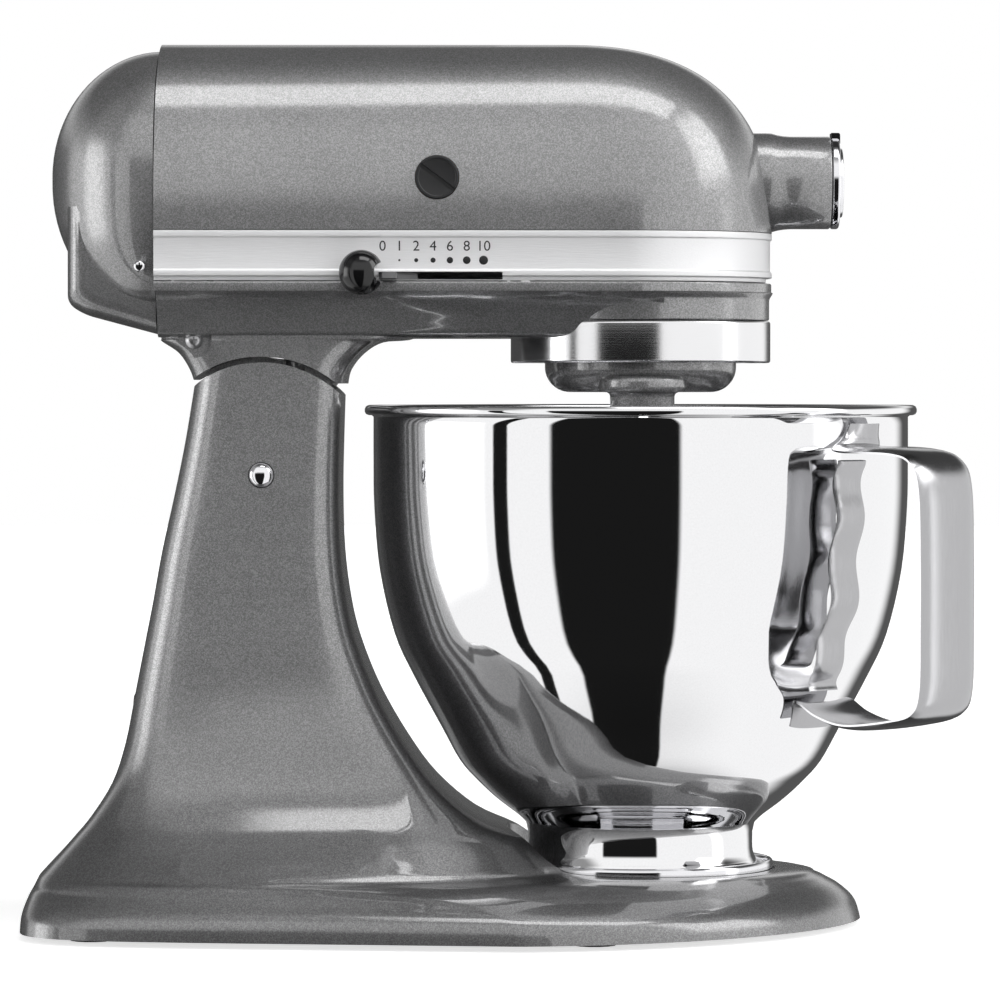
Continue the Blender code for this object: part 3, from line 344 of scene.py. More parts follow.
def ring_grain_material(name, colour, rough, lines):
    """A turned metal: fine rings about the bowl's axis."""
    made, n, shader = new_material(name, Metallic=1.0)
    at = n.place((1, 1, 60))
    low = n.add("ShaderNodeSeparateXYZ", Vector=n.place())
    rings = n.noise(n.add("ShaderNodeCombineXYZ", Z=low.outputs[2]).outputs[0], 2600.0, 3.0, 0.7)
    smear = n.noise(at, 20.0, 3.0)
    n.set(shader.inputs["Base Color"], n.colours(rings, tuple(c * 0.86 for c in colour), colour))
    n.set(shader.inputs["Roughness"],
          n.math("ADD", n.spread(rings, 0.3, 0.7, rough - 0.05, rough + 0.06),
                 n.math("MULTIPLY", smear, 0.05)))
    n.set(shader.inputs["Normal"], n.bump(rings, lines, 0.0002))
    return made


def plastic_material(name, colour, rough, grain_scale, grain):
    made, n, shader = new_material(name)
    at = n.place()
    fine = n.noise(at, grain_scale, 2.0)
    wide = n.noise(at, 60.0, 3.0)
    n.set(shader.inputs["Base Color"],
          n.colours(wide, tuple(c * 0.8 for c in colour), tuple(min(1, c * 1.2) for c in colour)))
    n.set(shader.inputs["Roughness"], n.spread(fine, 0.3, 0.7, rough * 0.85, rough * 1.15))
    n.set(shader.inputs["Normal"], n.bump(fine, grain, 0.0002))
    return made


MATERIALS = {
    "paint": paint_material(),
    "polished_steel": metal_material("mirror_steel", (0.86, 0.86, 0.87), 0.02, (1, 1, 1), 1500.0, 0.004,
                                     0.02, 0.03),
    "chrome": metal_material("bright_chrome", (0.84, 0.84, 0.86), 0.06, (1, 1, 1), 1200.0, 0.004, 0.02, 0.03),
    "satin_steel": metal_material("satin_strap_steel", (0.44, 0.44, 0.45), 0.16, (1, 1, 0.06), 2200.0, 0.05,
                                  0.10, 0.05, 0.3),
    "ring_steel": ring_grain_material("turned_ring_steel", (0.86, 0.86, 0.87), 0.13, 0.06),
    "brushed_aluminium": metal_material("brushed_band", (0.88, 0.88, 0.89), 0.42, (0.03, 1, 1), 3200.0,
                                        0.30, 0.12, 0.04, 0.0, 0.55),
    "machined_steel": metal_material("machined_steel", (0.50, 0.50, 0.51), 0.32, (1, 1, 0.2), 1800.0, 0.05,
                                     0.12, 0.06),
    "armature_core": metal_material("wound_copper", (0.60, 0.33, 0.18), 0.38, (0.2, 1, 1), 900.0, 0.2, 0.12,
                                    0.06),
    "bronze": metal_material("bronze", (0.58, 0.42, 0.22), 0.34, (1, 1, 1), 1500.0, 0.04, 0.10, 0.06),
    "gloss_black": plastic_material("gloss_black", (0.006, 0.006, 0.0065), 0.08, 900.0, 0.02),
    "carbon": plastic_material("carbon", (0.03, 0.03, 0.03), 0.65, 1800.0, 0.3),
    "white_nylon": plastic_material("white_nylon", (0.72, 0.71, 0.68), 0.45, 1200.0, 0.1),
    "black_rubber": plastic_material("black_rubber", (0.018, 0.018, 0.018), 0.75, 1500.0, 0.25),
}
MATERIALS["satin_black"] = plastic_material("satin_black", (0.020, 0.020, 0.021), 0.35, 1300.0, 0.05)
MATERIALS["dial_print"] = plastic_material("dial_print", (0.015, 0.015, 0.016), 0.4, 1300.0, 0.02)


def dress(obj, finish):
    obj.data.materials.clear()
    obj.data.materials.append(MATERIALS[finish])


def piece(obj, finish, body, *nodes, slot=None):
    """Give a new piece its material and its body, and hide the nodes that it stands for."""
    dress(obj, finish)
    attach(obj, body)
    if nodes:
        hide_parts(*nodes)
    return obj


def dress_cad_nodes():
    for entry in frame["record"]["subparts"]:
        obj = bpy.data.objects[entry["node"]]
        for slot in obj.material_slots:
            slot.material = MATERIALS[entry["material_slot"]]


# ---------------------------------------------------------------- stand

# height, front, rear, half width, widest station, front and rear exponents, rear taper
STAND_LEVELS = [
    (0.0025, 0.0883, -0.2445, 0.1170, -0.050, 1.8, 8.0, 0.18),
    (0.0080, 0.0868, -0.2440, 0.1165, -0.052, 1.8, 8.0, 0.18),
    (0.0120, 0.0843, -0.2430, 0.1145, -0.056, 1.8, 7.5, 0.18),
    (0.0160, 0.0795, -0.2415, 0.1089, -0.065, 1.85, 7.0, 0.17),
    (0.0185, 0.0750, -0.2402, 0.1047, -0.080, 1.9, 6.5, 0.16),
    (0.0205, 0.0705, -0.2392, 0.1006, -0.100, 1.95, 6.5, 0.15),
    (0.0225, 0.0600, -0.2383, 0.0957, -0.130, 2.0, 6.0, 0.14),
    (0.0235, -0.0120, -0.2375, 0.0923, -0.150, 2.4, 6.0, 0.16),
    (0.0262, -0.0280, -0.2350, 0.0888, -0.150, 2.7, 6.0, 0.16),
    (0.0312, -0.0390, -0.2303, 0.0822, -0.150, 3.2, 6.0, 0.16),
    (0.0372, -0.0483, -0.2250, 0.0742, -0.150, 4.0, 5.5, 0.14),
    (0.0445, -0.0653, -0.2190, 0.0655, -0.150, 5.5, 5.0, 0.10),
    (0.0578, -0.0813, -0.2107, 0.0562, -0.150, 7.0, 4.5, 0.04),
    (0.0737, -0.0932, -0.2054, 0.0520, -0.150, 7.5, 4.5, 0.02),
    (0.0936, -0.1045, -0.2015, 0.0485, -0.153, 7.5, 4.5, 0.0),
    (0.1136, -0.1125, -0.1976, 0.0465, -0.155, 7.5, 4.5, 0.0),
    (0.1300, -0.1165, -0.1944, 0.0452, -0.155, 7.5, 4.5, 0.0),
    (0.1500, -0.1190, -0.1908, 0.0440, -0.154, 7.5, 4.5, 0.0),
    (0.1730, -0.1197, -0.1857, 0.0430, -0.152, 7.5, 4.5, 0.0),
    (0.1960, -0.1193, -0.1811, 0.0420, -0.150, 7.5, 4.5, 0.0),
    (0.2260, -0.1183, -0.1763, 0.0410, -0.147, 7.5, 4.5, 0.0),
]
STAND_RING = 144


def stand_ring(level, inset=0.0, drop=0.0, count=STAND_RING):
    z, front, rear, half, widest, n_front, n_rear, taper = level
    ring = []
    for k in range(count):
        a = TAU * k / count
        forward = math.cos(a) >= 0
        n = n_front if forward else n_rear
        reach = (front - inset - widest) if forward else (widest - rear - inset)
        u = power(math.cos(a), 2 / n)
        y = (half - inset) * power(math.sin(a), 2 / n)
        if not forward:
            y *= 1 + taper * u
        ring.append((widest + reach * u, y, z - drop))
    return ring


def screw_holes(radius, low, length):
    """Cuts for the four screws of the clamping plate."""
    return [
        ("cut", rod("hole", radius, (SCREW_RING * math.cos(a), SCREW_RING * math.sin(a), low), length,
                    segments=20))
        for a in QUARTERS
    ]


def bayonet_tabs(inner, outer, reach, count, low, high):
    """Joins for the four tabs that hold the bowl, each reaching so many degrees to both sides."""
    steps = []
    for middle in QUARTERS:
        half = math.radians(reach)
        angles = [mix(middle - half, middle + half, k / count) for k in range(count + 1)]
        outline = [(outer * math.cos(a), outer * math.sin(a)) for a in angles]
        outline += [(inner * math.cos(a), inner * math.sin(a)) for a in reversed(angles)]
        steps.append(("join", prism("tab", outline, low, high, "XY")))
    return steps


def make_pedestal():
    levels = smooth_path(STAND_LEVELS, 4)
    body = loft("pedestal_shell", [stand_ring(v) for v in levels])
    hollow_levels = [v for v in STAND_LEVELS if v[0] < 0.152]
    rings = [stand_ring(v, 0.005, 0.0055, 64) for v in hollow_levels]
    rings.insert(0, [(x, y, -0.006) for x, y, _ in rings[0]])
    hollow = loft("hollow", rings)
    feet = [(0.060, 0.0), (-0.020, 0.086), (-0.020, -0.086), (-0.215, 0.068), (-0.215, -0.068)]
    bosses = [("cut", rod("boss", 0.0125, (x, y, 0.0040), 0.060, segments=32)) for x, y in feet]
    combine(hollow, [("cut", rod("floor", 0.0600, (0, 0, 0.0160), 0.050, segments=64)), *bosses])
    steps = [
        ("cut", hollow),
        ("cut", rod("recess", 0.0540, (0, 0, 0.0218), 0.050, segments=128)),
        ("cut", prism("crown", sector(CROWN_R, 0.090, 20, 160, 90), -0.06, 0.06)),
        ("join", prism("ridge", sector(0.0300, ARCH_R - 0.0003, 52, 119, 60), -0.0320, 0.0320)),
        ("cut", rod("slot", 0.026, (PIN_X, -0.021, PIN_Z), 0.042, "Y", 64)),
        ("cut", prism("wedge", sector(0, 0.070, 50, 124, 6), -0.0211, 0.0211)),
        ("cut", rod("bore", 0.00515, (PIN_X, -0.06, PIN_Z), 0.12, "Y", 48)),
        ("cut", prism("groove", sector(0.0418, 0.0470, 84, 150, 14), 0.0328, 0.0392)),
        ("cut", rod("screw", 0.0038, (-0.1370, -0.031, 0.2100), 0.03, segments=32)),
        ("cut", rod("cord", 0.0072, (-0.2200, 0, 0.0850), 0.0350, "X", 40)),
    ]
    combine(body, steps + screw_holes(0.0020, 0.0180, 0.01), 32)
    piece(body, "paint", "stand", "pedestal")


def make_clamp_plate():
    ring = rounded([(0.0100, 0.0233), (0.0500, 0.0233), (0.0507, 0.0240), (0.0513, 0.0262),
                    (0.0526, 0.0262), (0.0533, 0.0250), (0.0533, 0.0221), (0.0100, 0.0221)], 0.0005, 4)
    plate = turned("clamp_plate", ring[::-1], segments=128)
    tabs = bayonet_tabs(0.0478, 0.0525, 14, 12, 0.0255, 0.0263)
    combine(plate, screw_holes(0.0019, 0.015, 0.02) + tabs)
    piece(plate, "chrome", "stand", "bowl_clamp_plate")


def make_hinge_pin():
    half = [(0, 0.0458), (0.0015, 0.0457), (0.0030, 0.0453), (0.0041, 0.0445), (0.00475, 0.0436),
            (0.00485, 0.0426)]
    pin = turned("hinge_pin_domed", half + [(r, -h) for r, h in reversed(half)], (PIN_X, 0, PIN_Z), "Y", 64,
                 50)
    piece(pin, "chrome", "stand", "hinge_pin")


# ---------------------------------------------------------------- bowl and handle


def make_bowl():
    outer = [(0.1070, 0.2032), (0.1070, 0.1860), (0.1067, 0.1673), (0.1045, 0.1420), (0.0986, 0.1166),
             (0.0910, 0.0998), (0.0800, 0.0795), (0.0724, 0.0657), (0.0654, 0.0577), (0.0577, 0.0505),
             (0.0493, 0.0441), (0.0459, 0.0409)]
    foot = [(0.0450, 0.0370), (0.0450, 0.0310), (0.0456, 0.0280), (0.0468, 0.0256), (0.0470, 0.0242)]
    rim = [(0.1058, 0.2050), (0.1059, 0.2066), (0.1066, 0.2076), (0.1078, 0.2079), (0.1090, 0.2079),
           (0.1100, 0.2074), (0.1105, 0.2064), (0.1105, 0.2052), (0.1100, 0.2043), (0.1090, 0.2039),
           (0.1078, 0.2039)]
    under = [(0.0460, 0.0242), (0.0446, 0.0262), (0.0438, 0.0300), (0.0438, 0.0400), (0.0430, 0.0425),
             (0, 0.0440)]
    lining = [(0, 0.0455), (0.0300, 0.0456), (0.0470, 0.0458), (0.0566, 0.0516), (0.0642, 0.0588),
              (0.0712, 0.0668), (0.0789, 0.0806), (0.0898, 0.1006), (0.0974, 0.1172), (0.1033, 0.1423),
              (0.1055, 0.1673), (0.1058, 0.1900)]
    profile = smooth_path(lining, 4) + rim + smooth_path(outer, 4) + smooth_path(foot, 2) + under
    bowl = turned("mixing_bowl", profile, segments=192, smooth_angle=60)
    combine(bowl, bayonet_tabs(0.0462, 0.0500, 11, 8, 0.0243, 0.0251), 60)
    piece(bowl, "polished_steel", "bowl", "bowl")


def handle_point(radial, across, height):
    c, s = math.cos(HANDLE_AZIMUTH), math.sin(HANDLE_AZIMUTH)
    return (radial * c + across * s, radial * s - across * c, height)


def strap(name, path, low, high, thick, crown, wave=0.0, per_span=8, columns=14, pinch=None):
    """A bent strap with rolled edges; wave puts finger scallops along it."""
    line = [Vector(p) for p in smooth_path(path, per_span)]
    rings = []
    for i, p in enumerate(line):
        ahead, behind = line[min(i + 1, len(line) - 1)], line[max(i - 1, 0)]
        run = (ahead - behind).normalized()
        normal = Vector((-run.y, run.x))
        share = i / (len(line) - 1)
        ripple = wave * math.sin(share * 8 * math.pi) * math.sin(share * math.pi)
        left, right = (low, high) if pinch is None else pinch(share, low, high)
        ring = []
        for side in (1, -1):
            for k in range(columns + 1):
                t = k / columns if side > 0 else 1 - k / columns
                edge = (2 * t - 1) ** 2
                thin = 1 - 0.55 * edge**6
                lift = crown * (1 - edge**1.6) + side * thick / 2 * thin + ripple
                q = p + normal * lift
                ring.append(handle_point(q.x, mix(left, right, t), q.y))
        rings.append(ring)
    return loft(name, rings, smooth_angle=50)


HANDLE_PATH = [(0.1085, 0.2010), (0.1085, 0.1945), (0.1125, 0.1905), (0.1400, 0.1895), (0.1500, 0.1860),
               (0.1540, 0.1760), (0.1550, 0.1500), (0.1550, 0.1200), (0.1545, 0.1000), (0.1510, 0.0910),
               (0.1400, 0.0875), (0.1180, 0.0850), (0.1040, 0.0880), (0.0945, 0.0930), (0.0895, 0.0915),
               (0.0850, 0.0830)]
FINGER_PATH = [(0.1150, 0.1868), (0.1135, 0.1820), (0.1130, 0.1680), (0.1120, 0.1500), (0.1095, 0.1310),
               (0.1055, 0.1150), (0.1010, 0.1030), (0.1010, 0.0975)]


def strap_width(share, low, high):
    """The grip is widest along its outer run and narrows to the tabs at both ends."""
    top = min(1.0, share / 0.16)
    tail = min(1.0, (1 - share) / 0.14)
    ease = (3 * tail**2 - 2 * tail**3) * 0.45 + 0.55
    return low, mix(low + 0.0180, high, 3 * top**2 - 2 * top**3) * ease


def make_handle():
    grip = strap("handle_grip", HANDLE_PATH, -0.0166, 0.0166, 0.0016, 0.0016, pinch=strap_width)
    piece(grip, "satin_steel", "bowl", "handle_outer")
    finger = strap("handle_finger_strip", FINGER_PATH, -0.0004, 0.0162, 0.0014, 0.0, 0.0018, 12, 8)
    piece(finger, "satin_steel", "bowl", "handle_inner")
    dot = [(0, 0.0004), (0.0007, 0.00038), (0.0012, 0.0002), (0.0015, 0.0), (0, 0.0)]
    spots = [(0.1093, -0.0110, 0.1985), (0.1093, -0.0040, 0.1985), (0.0880, -0.0100, 0.0862)]
    for i, spot in enumerate(spots, 1):
        weld = turned(f"handle_weld_dot_{i}", dot, segments=20)
        weld.data.transform(Matrix.Translation((-BOWL_X, 0, 0)))
        lean = math.radians(90 if i < 3 else 118)
        tip = Matrix.Rotation(HANDLE_AZIMUTH, 4, "Z") @ Matrix.Rotation(lean, 4, "Y")
        x, y, z = handle_point(*spot)
        weld.data.transform(Matrix.Translation((x + BOWL_X, y, z)) @ tip)
        piece(weld, "satin_steel", "bowl")


# ---------------------------------------------------------------- head


def head_width(x, inset=0.0):
    if x <= NOSE_START:
        return mix(HEAD_REAR_W, HEAD_FRONT_W, (x - HEAD_REAR_X) / (NOSE_START - HEAD_REAR_X)) - inset
    u = min(1.0, (x - NOSE_START) / (NOSE_TIP - inset - NOSE_START))
    return (HEAD_FRONT_W - inset) * (1 - u**2.1) ** (1 / 2.1)


def head_rows(inset, arch, nose_steps):
    straight = [HEAD_REAR_X, -0.1900, -0.160, -0.130, -0.105, -0.080, -0.055, NOSE_DROP_START]
    reach = NOSE_TIP - inset - NOSE_DROP_START
    angles = [90 * (k / nose_steps) for k in range(1, nose_steps)]
    nose = [NOSE_DROP_START + reach * math.sin(math.radians(a)) ** 0.8 for a in angles]
    rows = []
    for x in [*straight, *nose, NOSE_TIP - inset]:
        u = max(0.0, (x - NOSE_DROP_START) / reach)
        height = (HEAD_TOP - inset) * max(0.0, 1 - u**2.5) ** 0.4
        width = head_width(x, inset)
        row = []
        for k in range(arch + 1):
            a = math.pi * k / arch
            row.append((x, -width * power(math.cos(a), 2 / 2.3),
                        RIM_Z + height * power(math.sin(a), 2 / 2.3)))
        rows.append(row)
    return rows


def thick_shell(name, outer, inner):
    bm = bmesh.new()
    grids = [[[bm.verts.new(p) for p in row] for row in grid] for grid in (outer, inner)]
    for grid in grids:
        for a, b in zip(grid, grid[1:], strict=False):
            for k in range(len(a) - 1):
                bm.faces.new((a[k], a[k + 1], b[k + 1], b[k]))
    out, inn = grids
    for k in range(len(out[0]) - 1):
        bm.faces.new((out[0][k], out[0][k + 1], inn[0][k + 1], inn[0][k]))
    for a, b, c, d in zip(out, out[1:], inn, inn[1:], strict=False):
        for k in (0, -1):
            bm.faces.new((a[k], b[k], d[k], c[k]))
    for grid in grids:
        bmesh.ops.pointmerge(bm, verts=grid[-1], merge_co=grid[-1][0].co)
    return mesh_object(name, bm)


def make_upper_housing():
    body = thick_shell("upper_housing_shell", head_rows(0.0, 96, 40), head_rows(SHELL, 96, 40))
    flare = [(0, 0.0758), (0.0180, 0.0758), (0.0185, 0.0752), (0.0185, 0.0600), (0.0187, 0.0572),
             (0.0191, 0.0548), (0.0198, 0.0522), (0.0199, 0.0500), (0.0199, 0.0400), (0, 0.0400)]
    steps = [
        ("join", turned("hub_tube", flare, (0, 0, MOTOR_Z), "X", 110)),
        ("cut", rod("hub_bore", 0.0150, (0.020, 0, MOTOR_Z), 0.070, "X", 90)),
        ("cut", rod("knob_hole", 0.0034, (0.0660, 0.010, MOTOR_Z), 0.02, "Y", 26)),
        ("cut", rod("port_near", 0.0087, (BRUSH_X, -0.075, MOTOR_Z), 0.025, "Y", 48)),
        ("cut", rod("port_far", 0.0087, (BRUSH_X, 0.050, MOTOR_Z), 0.025, "Y", 48)),
    ]
    combine(body, steps, 40)
    piece(body, "paint", "head", "upper_housing")


def plan_path(inset):
    half = [(x, -head_width(x)) for x in (HEAD_REAR_X, -0.165, -0.140, -0.110, -0.080, -0.050, -0.025)]
    for k in range(0, 91, 3):
        a = math.radians(90 - k)
        x = NOSE_START + (NOSE_TIP - NOSE_START) * power(math.cos(a), 2 / 2.1)
        half.append((x, -HEAD_FRONT_W * power(math.sin(a), 2 / 2.1)))
    line = half + [(x, -y) for x, y in reversed(half[:-1])]
    out = []
    for i, (x, y) in enumerate(line):
        if i in (0, len(line) - 1):
            out.append((x, y + (inset if y < 0 else -inset)))
            continue
        run = (Vector(line[i + 1]) - Vector(line[i - 1])).normalized()
        out.append((x - run.y * inset, y + run.x * inset))
    return out


def make_trim_band():
    low, high = 0.2566, 0.2762
    corners = [(0.0, high), (0.0, 0.2737), (0.0007, 0.2733), (0.0007, 0.2610), (0.0, 0.2606), (0.0, 0.2585),
               (0.0024, 0.2582),
               (0.0024, low), (0.0032, low), (0.0032, high)]
    section = rounded([corners[-1], *corners, corners[0]], 0.00035, 3)[1:-1]
    paths = {inset: plan_path(inset) for inset, _ in section}
    rings = [[(*paths[inset][i], z) for inset, z in section] for i in range(len(paths[section[0][0]]))]
    band = loft("trim_band_brushed", rings, smooth_angle=30)
    steps = [
        ("cut", box("speed_slot", (-0.1036, -0.075, 0.2570), (-0.0553, -0.050, 0.2600))),
        ("cut", box("lock_slot", (-0.0640, 0.050, 0.2570), (-0.0440, 0.075, 0.2600))),
    ]
    combine(band, steps, 30)
    piece(band, "brushed_aluminium", "head", "trim_band")


def make_dial():
    """Speed numbers and growing dots on the band above the lever's slot."""
    tilt = math.atan((HEAD_REAR_W - HEAD_FRONT_W) / (NOSE_START - HEAD_REAR_X))
    places = [(-0.1020 + 0.00655 * i, text) for i, text in enumerate(("0", "1", "2", "4", "6", "8", "10"))]
    for i, (x, text) in enumerate(places):
        y = -head_width(x) + 0.0007
        curve = bpy.data.curves.new(f"dial_number_{text}", "FONT")
        curve.body = text
        curve.size = 0.0056
        curve.align_x = "CENTER"
        curve.extrude = 0.00006
        obj = bpy.data.objects.new(f"dial_number_{text}", curve)
        bpy.context.scene.collection.objects.link(obj)
        bpy.context.view_layer.update()
        mesh = bpy.data.meshes.new_from_object(obj.evaluated_get(bpy.context.evaluated_depsgraph_get()))
        bpy.data.objects.remove(obj)
        turn = Matrix.Rotation(tilt, 4, "Z") @ Matrix.Rotation(math.pi / 2, 4, "X")
        mesh.transform(Matrix.Translation((x + BOWL_X, y, 0.2682)) @ turn)
        number = bpy.data.objects.new(f"dial_number_{text}", mesh)
        bpy.context.scene.collection.objects.link(number)
        piece(number, "dial_print", "head", slot="gloss_black")
        if i:
            radius = (0.00042, 0.00078, 0.0010, 0.00125, 0.0015, 0.00175)[i - 1]
            dot = turned(f"dial_dot_{text}",
                         rounded([(0, 0.0001), (radius, 0.0001), (radius, -0.0001), (0, -0.0001)], 0.00003,
                                 2),
                         (x, y, 0.2645), "-Y", 28)
            piece(dot, "dial_print", "head", slot="gloss_black")


def belly_outline(side):
    return side + [(-y, z) for y, z in reversed(side)]


def housing_hollow():
    side = [(0.0510, 0.2600), (0.0500, 0.2530), (0.0465, 0.2485), (0.0435, 0.2440), (0.0410, 0.2385)]
    return loft("hollow", [[(x, y, z) for y, z in belly_outline(side)] for x in (-0.1950, 0.004)])


def gear_seat():
    profile = [(0, 0.2600), (0.0475, 0.2600), (0.0475, 0.2385), (0.0453, 0.2385), (0.0453, 0.2286),
               (0.0400, 0.2286), (0.0400, 0.2200), (0, 0.2200)]
    return turned("seat", profile, segments=120)


def hinge_arch():
    return rod("arch", ARCH_R, (PIN_X, -0.06, PIN_Z), 0.12, "Y", 110)


def merge(obj, others):
    """Put other shells of the same part into one mesh."""
    bm = bmesh.new()
    for source in (obj, *others):
        bm.from_mesh(source.data)
    bm.to_mesh(obj.data)
    bm.free()
    for other in others:
        bpy.data.objects.remove(other)
    obj.data.shade_smooth()
    obj.data.set_sharp_from_angle(angle=math.radians(36))
    return obj


def make_lower_housing():
    low, high = 0.2523, 0.2563
    edge = rounded([(0.0032, low), (0.0002, low), (0.0002, high), (0.0032, high)], 0.0007, 4)
    rings = [[(x, y, z) for x, y in plan_path(max(inset, 0.0002))] for inset, z in edge]
    flange = loft("lower_housing_shell", rings, smooth_angle=40)
    combine(flange, [("cut", housing_hollow()), ("cut", gear_seat())], 40)
    side = smooth_path([(0.0580, 0.2530), (0.0530, 0.2500), (0.0488, 0.2455), (0.0460, 0.2405),
                        (0.0435, 0.2362), (0.0390, 0.2347)], 5)
    belly = loft("belly", [[(x, y, z) for y, z in belly_outline(side)] for x in (-0.1908, -0.1, 0.008)])
    combine(belly, [("cut", hinge_arch()), ("cut", housing_hollow()), ("cut", gear_seat())], 40)
    outer = rounded([(0.0475, 0.2528), (0.0532, 0.2528), (0.0515, 0.2500), (0.0515, 0.2416),
                     (0.0492, 0.2416), (0.0492, 0.2250), (0.0400, 0.2250)], 0.0008, 4)
    collar = turned("collar",
                    outer + [(0.0400, 0.2286), (0.0453, 0.2286), (0.0453, 0.2385), (0.0475, 0.2385)],
                    segments=144)
    levels = [
        (0.2420, -0.0840, -0.1908), (0.2347, -0.0906, -0.1908), (0.2331, -0.1034, -0.1904),
        (0.2286, -0.1111, -0.1838),
        (0.2222, -0.1162, -0.1795), (0.2165, -0.1176, -0.1775),
    ]
    rings = []
    for z, front, rear in smooth_path(levels, 5):
        rings.append(stand_ring((z, front, rear, 0.0420, (front + rear) / 2, 6, 6, 0), count=96))
    neck = loft("neck", rings)
    steps = [("cut", hinge_arch()), ("cut", housing_hollow())]
    steps.append(("cut", rod("lock_hole", 0.0028, (PIN_X, 0.0360, 0.2200), 0.03, segments=28)))
    for start in (0.0390, -0.0490):
        steps.append(("cut", rod("dent", 0.0070, (-0.1767, start, 0.2336), 0.01, "Y", 48)))
    combine(neck, steps, 34)
    tongue = prism("tongue", sector(0.010, 0.0560, 52, 80, 8), -0.0201, 0.0201)
    disc = rod("tongue_disc", 0.024, (PIN_X, -0.0205, PIN_Z), 0.041, "Y", 72)
    combine(tongue, [("join", disc),
                     ("cut", rod("tongue_bore", 0.0052, (PIN_X, -0.03, PIN_Z), 0.06, "Y", 40))], 34)
    merge(flange, [belly, collar, neck, tongue])
    piece(flange, "paint", "head", "lower_housing")


def dome_ring(x, inset):
    reach = DOME_REACH - inset
    u = min(1.0, max(0.0, (DOME_X - x) / reach))
    share = max(0.0, 1 - u**2) ** 0.5
    ring = []
    for k in range(96):
        a = TAU * k / 96
        up = math.sin(a) >= 0
        n = 2.3 if up else 3.4
        depth = (0.0510 if up else 0.0550) - inset
        ring.append((x, (0.0637 - inset) * share * power(math.cos(a), 2 / n),
                     DOME_Z + depth * share * power(math.sin(a), 2 / n)))
    return ring


def dome(name, inset, start):
    reach = DOME_REACH - inset
    stations = [start] + [DOME_X - reach * math.sin(math.radians(a)) for a in range(6, 90, 4)]
    rings = [dome_ring(x, inset) for x in stations]
    tip = stations[-1] - reach * 0.0004
    rings.append([(tip, y * 0.3, DOME_Z + (z - DOME_Z) * 0.3) for _, y, z in rings[-1]])
    return loft(name, rings[::-1], smooth_angle=50)


def vent_skirt(name, inset, start):
    """The box-shaped air outlet under the dome, with rounded side and lower edges."""
    half, top, back = 0.0450 - inset, 0.2860, -0.2272 + inset
    heel = (-0.2205 + inset * 0.7, 0.2436 + inset)
    corners = [(start, top), (back, top), (back, 0.2478 + inset * 0.5), heel, (start, 0.2358 + inset)]
    outline = [corners[0], *rounded(corners[1:], 0.005, 6)]
    rings = []
    for k in range(-14, 15):
        share = math.sin(k / 14 * math.pi / 2)
        squeeze = 0.007 * (1 - (1 - abs(share) ** 8) ** 0.5)
        ring = []
        for x, z in outline:
            low = min(1.0, (top - z) / 0.02)
            ring.append((x + (squeeze if x < start - 0.001 else 0), half * share, z + squeeze * low))
        rings.append(ring)
    return loft(name, rings, smooth_angle=50)


def make_rear_cover():
    start = HEAD_REAR_X - 0.0003
    cover = dome("rear_cover_shell", 0.0, start)
    steps = [
        ("join", vent_skirt("skirt", 0.0, start)),
        ("cut", dome("hollow", SHELL, start + 0.004)),
        ("cut", vent_skirt("skirt_hollow", SHELL, start + 0.004)),
        ("cut", rod("screw_hole", 0.0016, (-0.1965, -0.070, 0.2622), 0.02, "Y", 24)),
    ]
    for i in range(7):
        y = -0.030 + 0.010 * i
        steps.append(("cut", box("vent", (-0.2180, y - 0.002, 0.2300), (-0.2000, y + 0.002, 0.2520))))
    combine(cover, steps, 40)
    piece(cover, "paint", "head", "rear_cover")


def make_drip_ring():
    edge = rounded([(0.0495, 0.2413), (0.0520, 0.2413), (0.0520, 0.2247), (0.0495, 0.2247)], 0.0012, 5)
    ring = turned("drip_ring_turned", edge, segments=160, smooth_angle=40)
    piece(ring, "ring_steel", "head", "drip_ring", slot="satin_steel")


def make_planetary():
    edge = [(0, 0.2280), (0.0383, 0.2280), (0.0383, 0.2231)]
    arc = [(0.0283 + 0.0100 * math.cos(math.radians(a)),
            0.2231 - 0.0100 * math.sin(math.radians(a))) for a in range(6, 91, 6)]
    hub = turned("planetary_hub_casting", edge + arc + [(0, 0.2131)], segments=128, smooth_angle=40)
    foot = rounded([(0, 0.2200), (0.0175, 0.2200), (0.0175, 0.2131), (0.01275, 0.2131), (0.01275, 0.2000),
                    (0, 0.2000)], 0.0030, 6)
    steps = [
        ("cut", rod("shaft_bore", 0.0063, (0, 0, 0.2170), 0.02, segments=40)),
        ("join", turned("boss", foot, (0, -PLANET_E, 0), segments=72)),
        ("cut", rod("agitator_bore", 0.0063, (0, -PLANET_E, 0.19), 0.05, segments=40)),
    ]
    combine(hub, steps, 40)
    piece(hub, "paint", "planetary", "planetary_hub")


def make_hub_cover():
    face = rounded([(0, 0.0046), (0.0137, 0.0046), (0.0140, 0.0034), (0.0180, 0.0031), (0.0185, 0.0024),
                    (0.0185, 0.0), (0, 0.0)], 0.0007, 5)
    cover = turned("hub_cover_cap", face, (HUB_FACE_X, 0, MOTOR_Z), "X", 96, 40)
    outline = rounded([(HUB_FACE_X, MOTOR_Z + 0.015), (0.0796, MOTOR_Z + 0.015), (0.0796, MOTOR_Z + 0.0198),
                       (HUB_FACE_X, MOTOR_Z + 0.0198)], 0.0010, 5)
    combine(cover, [("join", prism("lug", outline, -0.0060, 0.0060))], 40)
    piece(cover, "chrome", "hub_flap", "hub_cover")


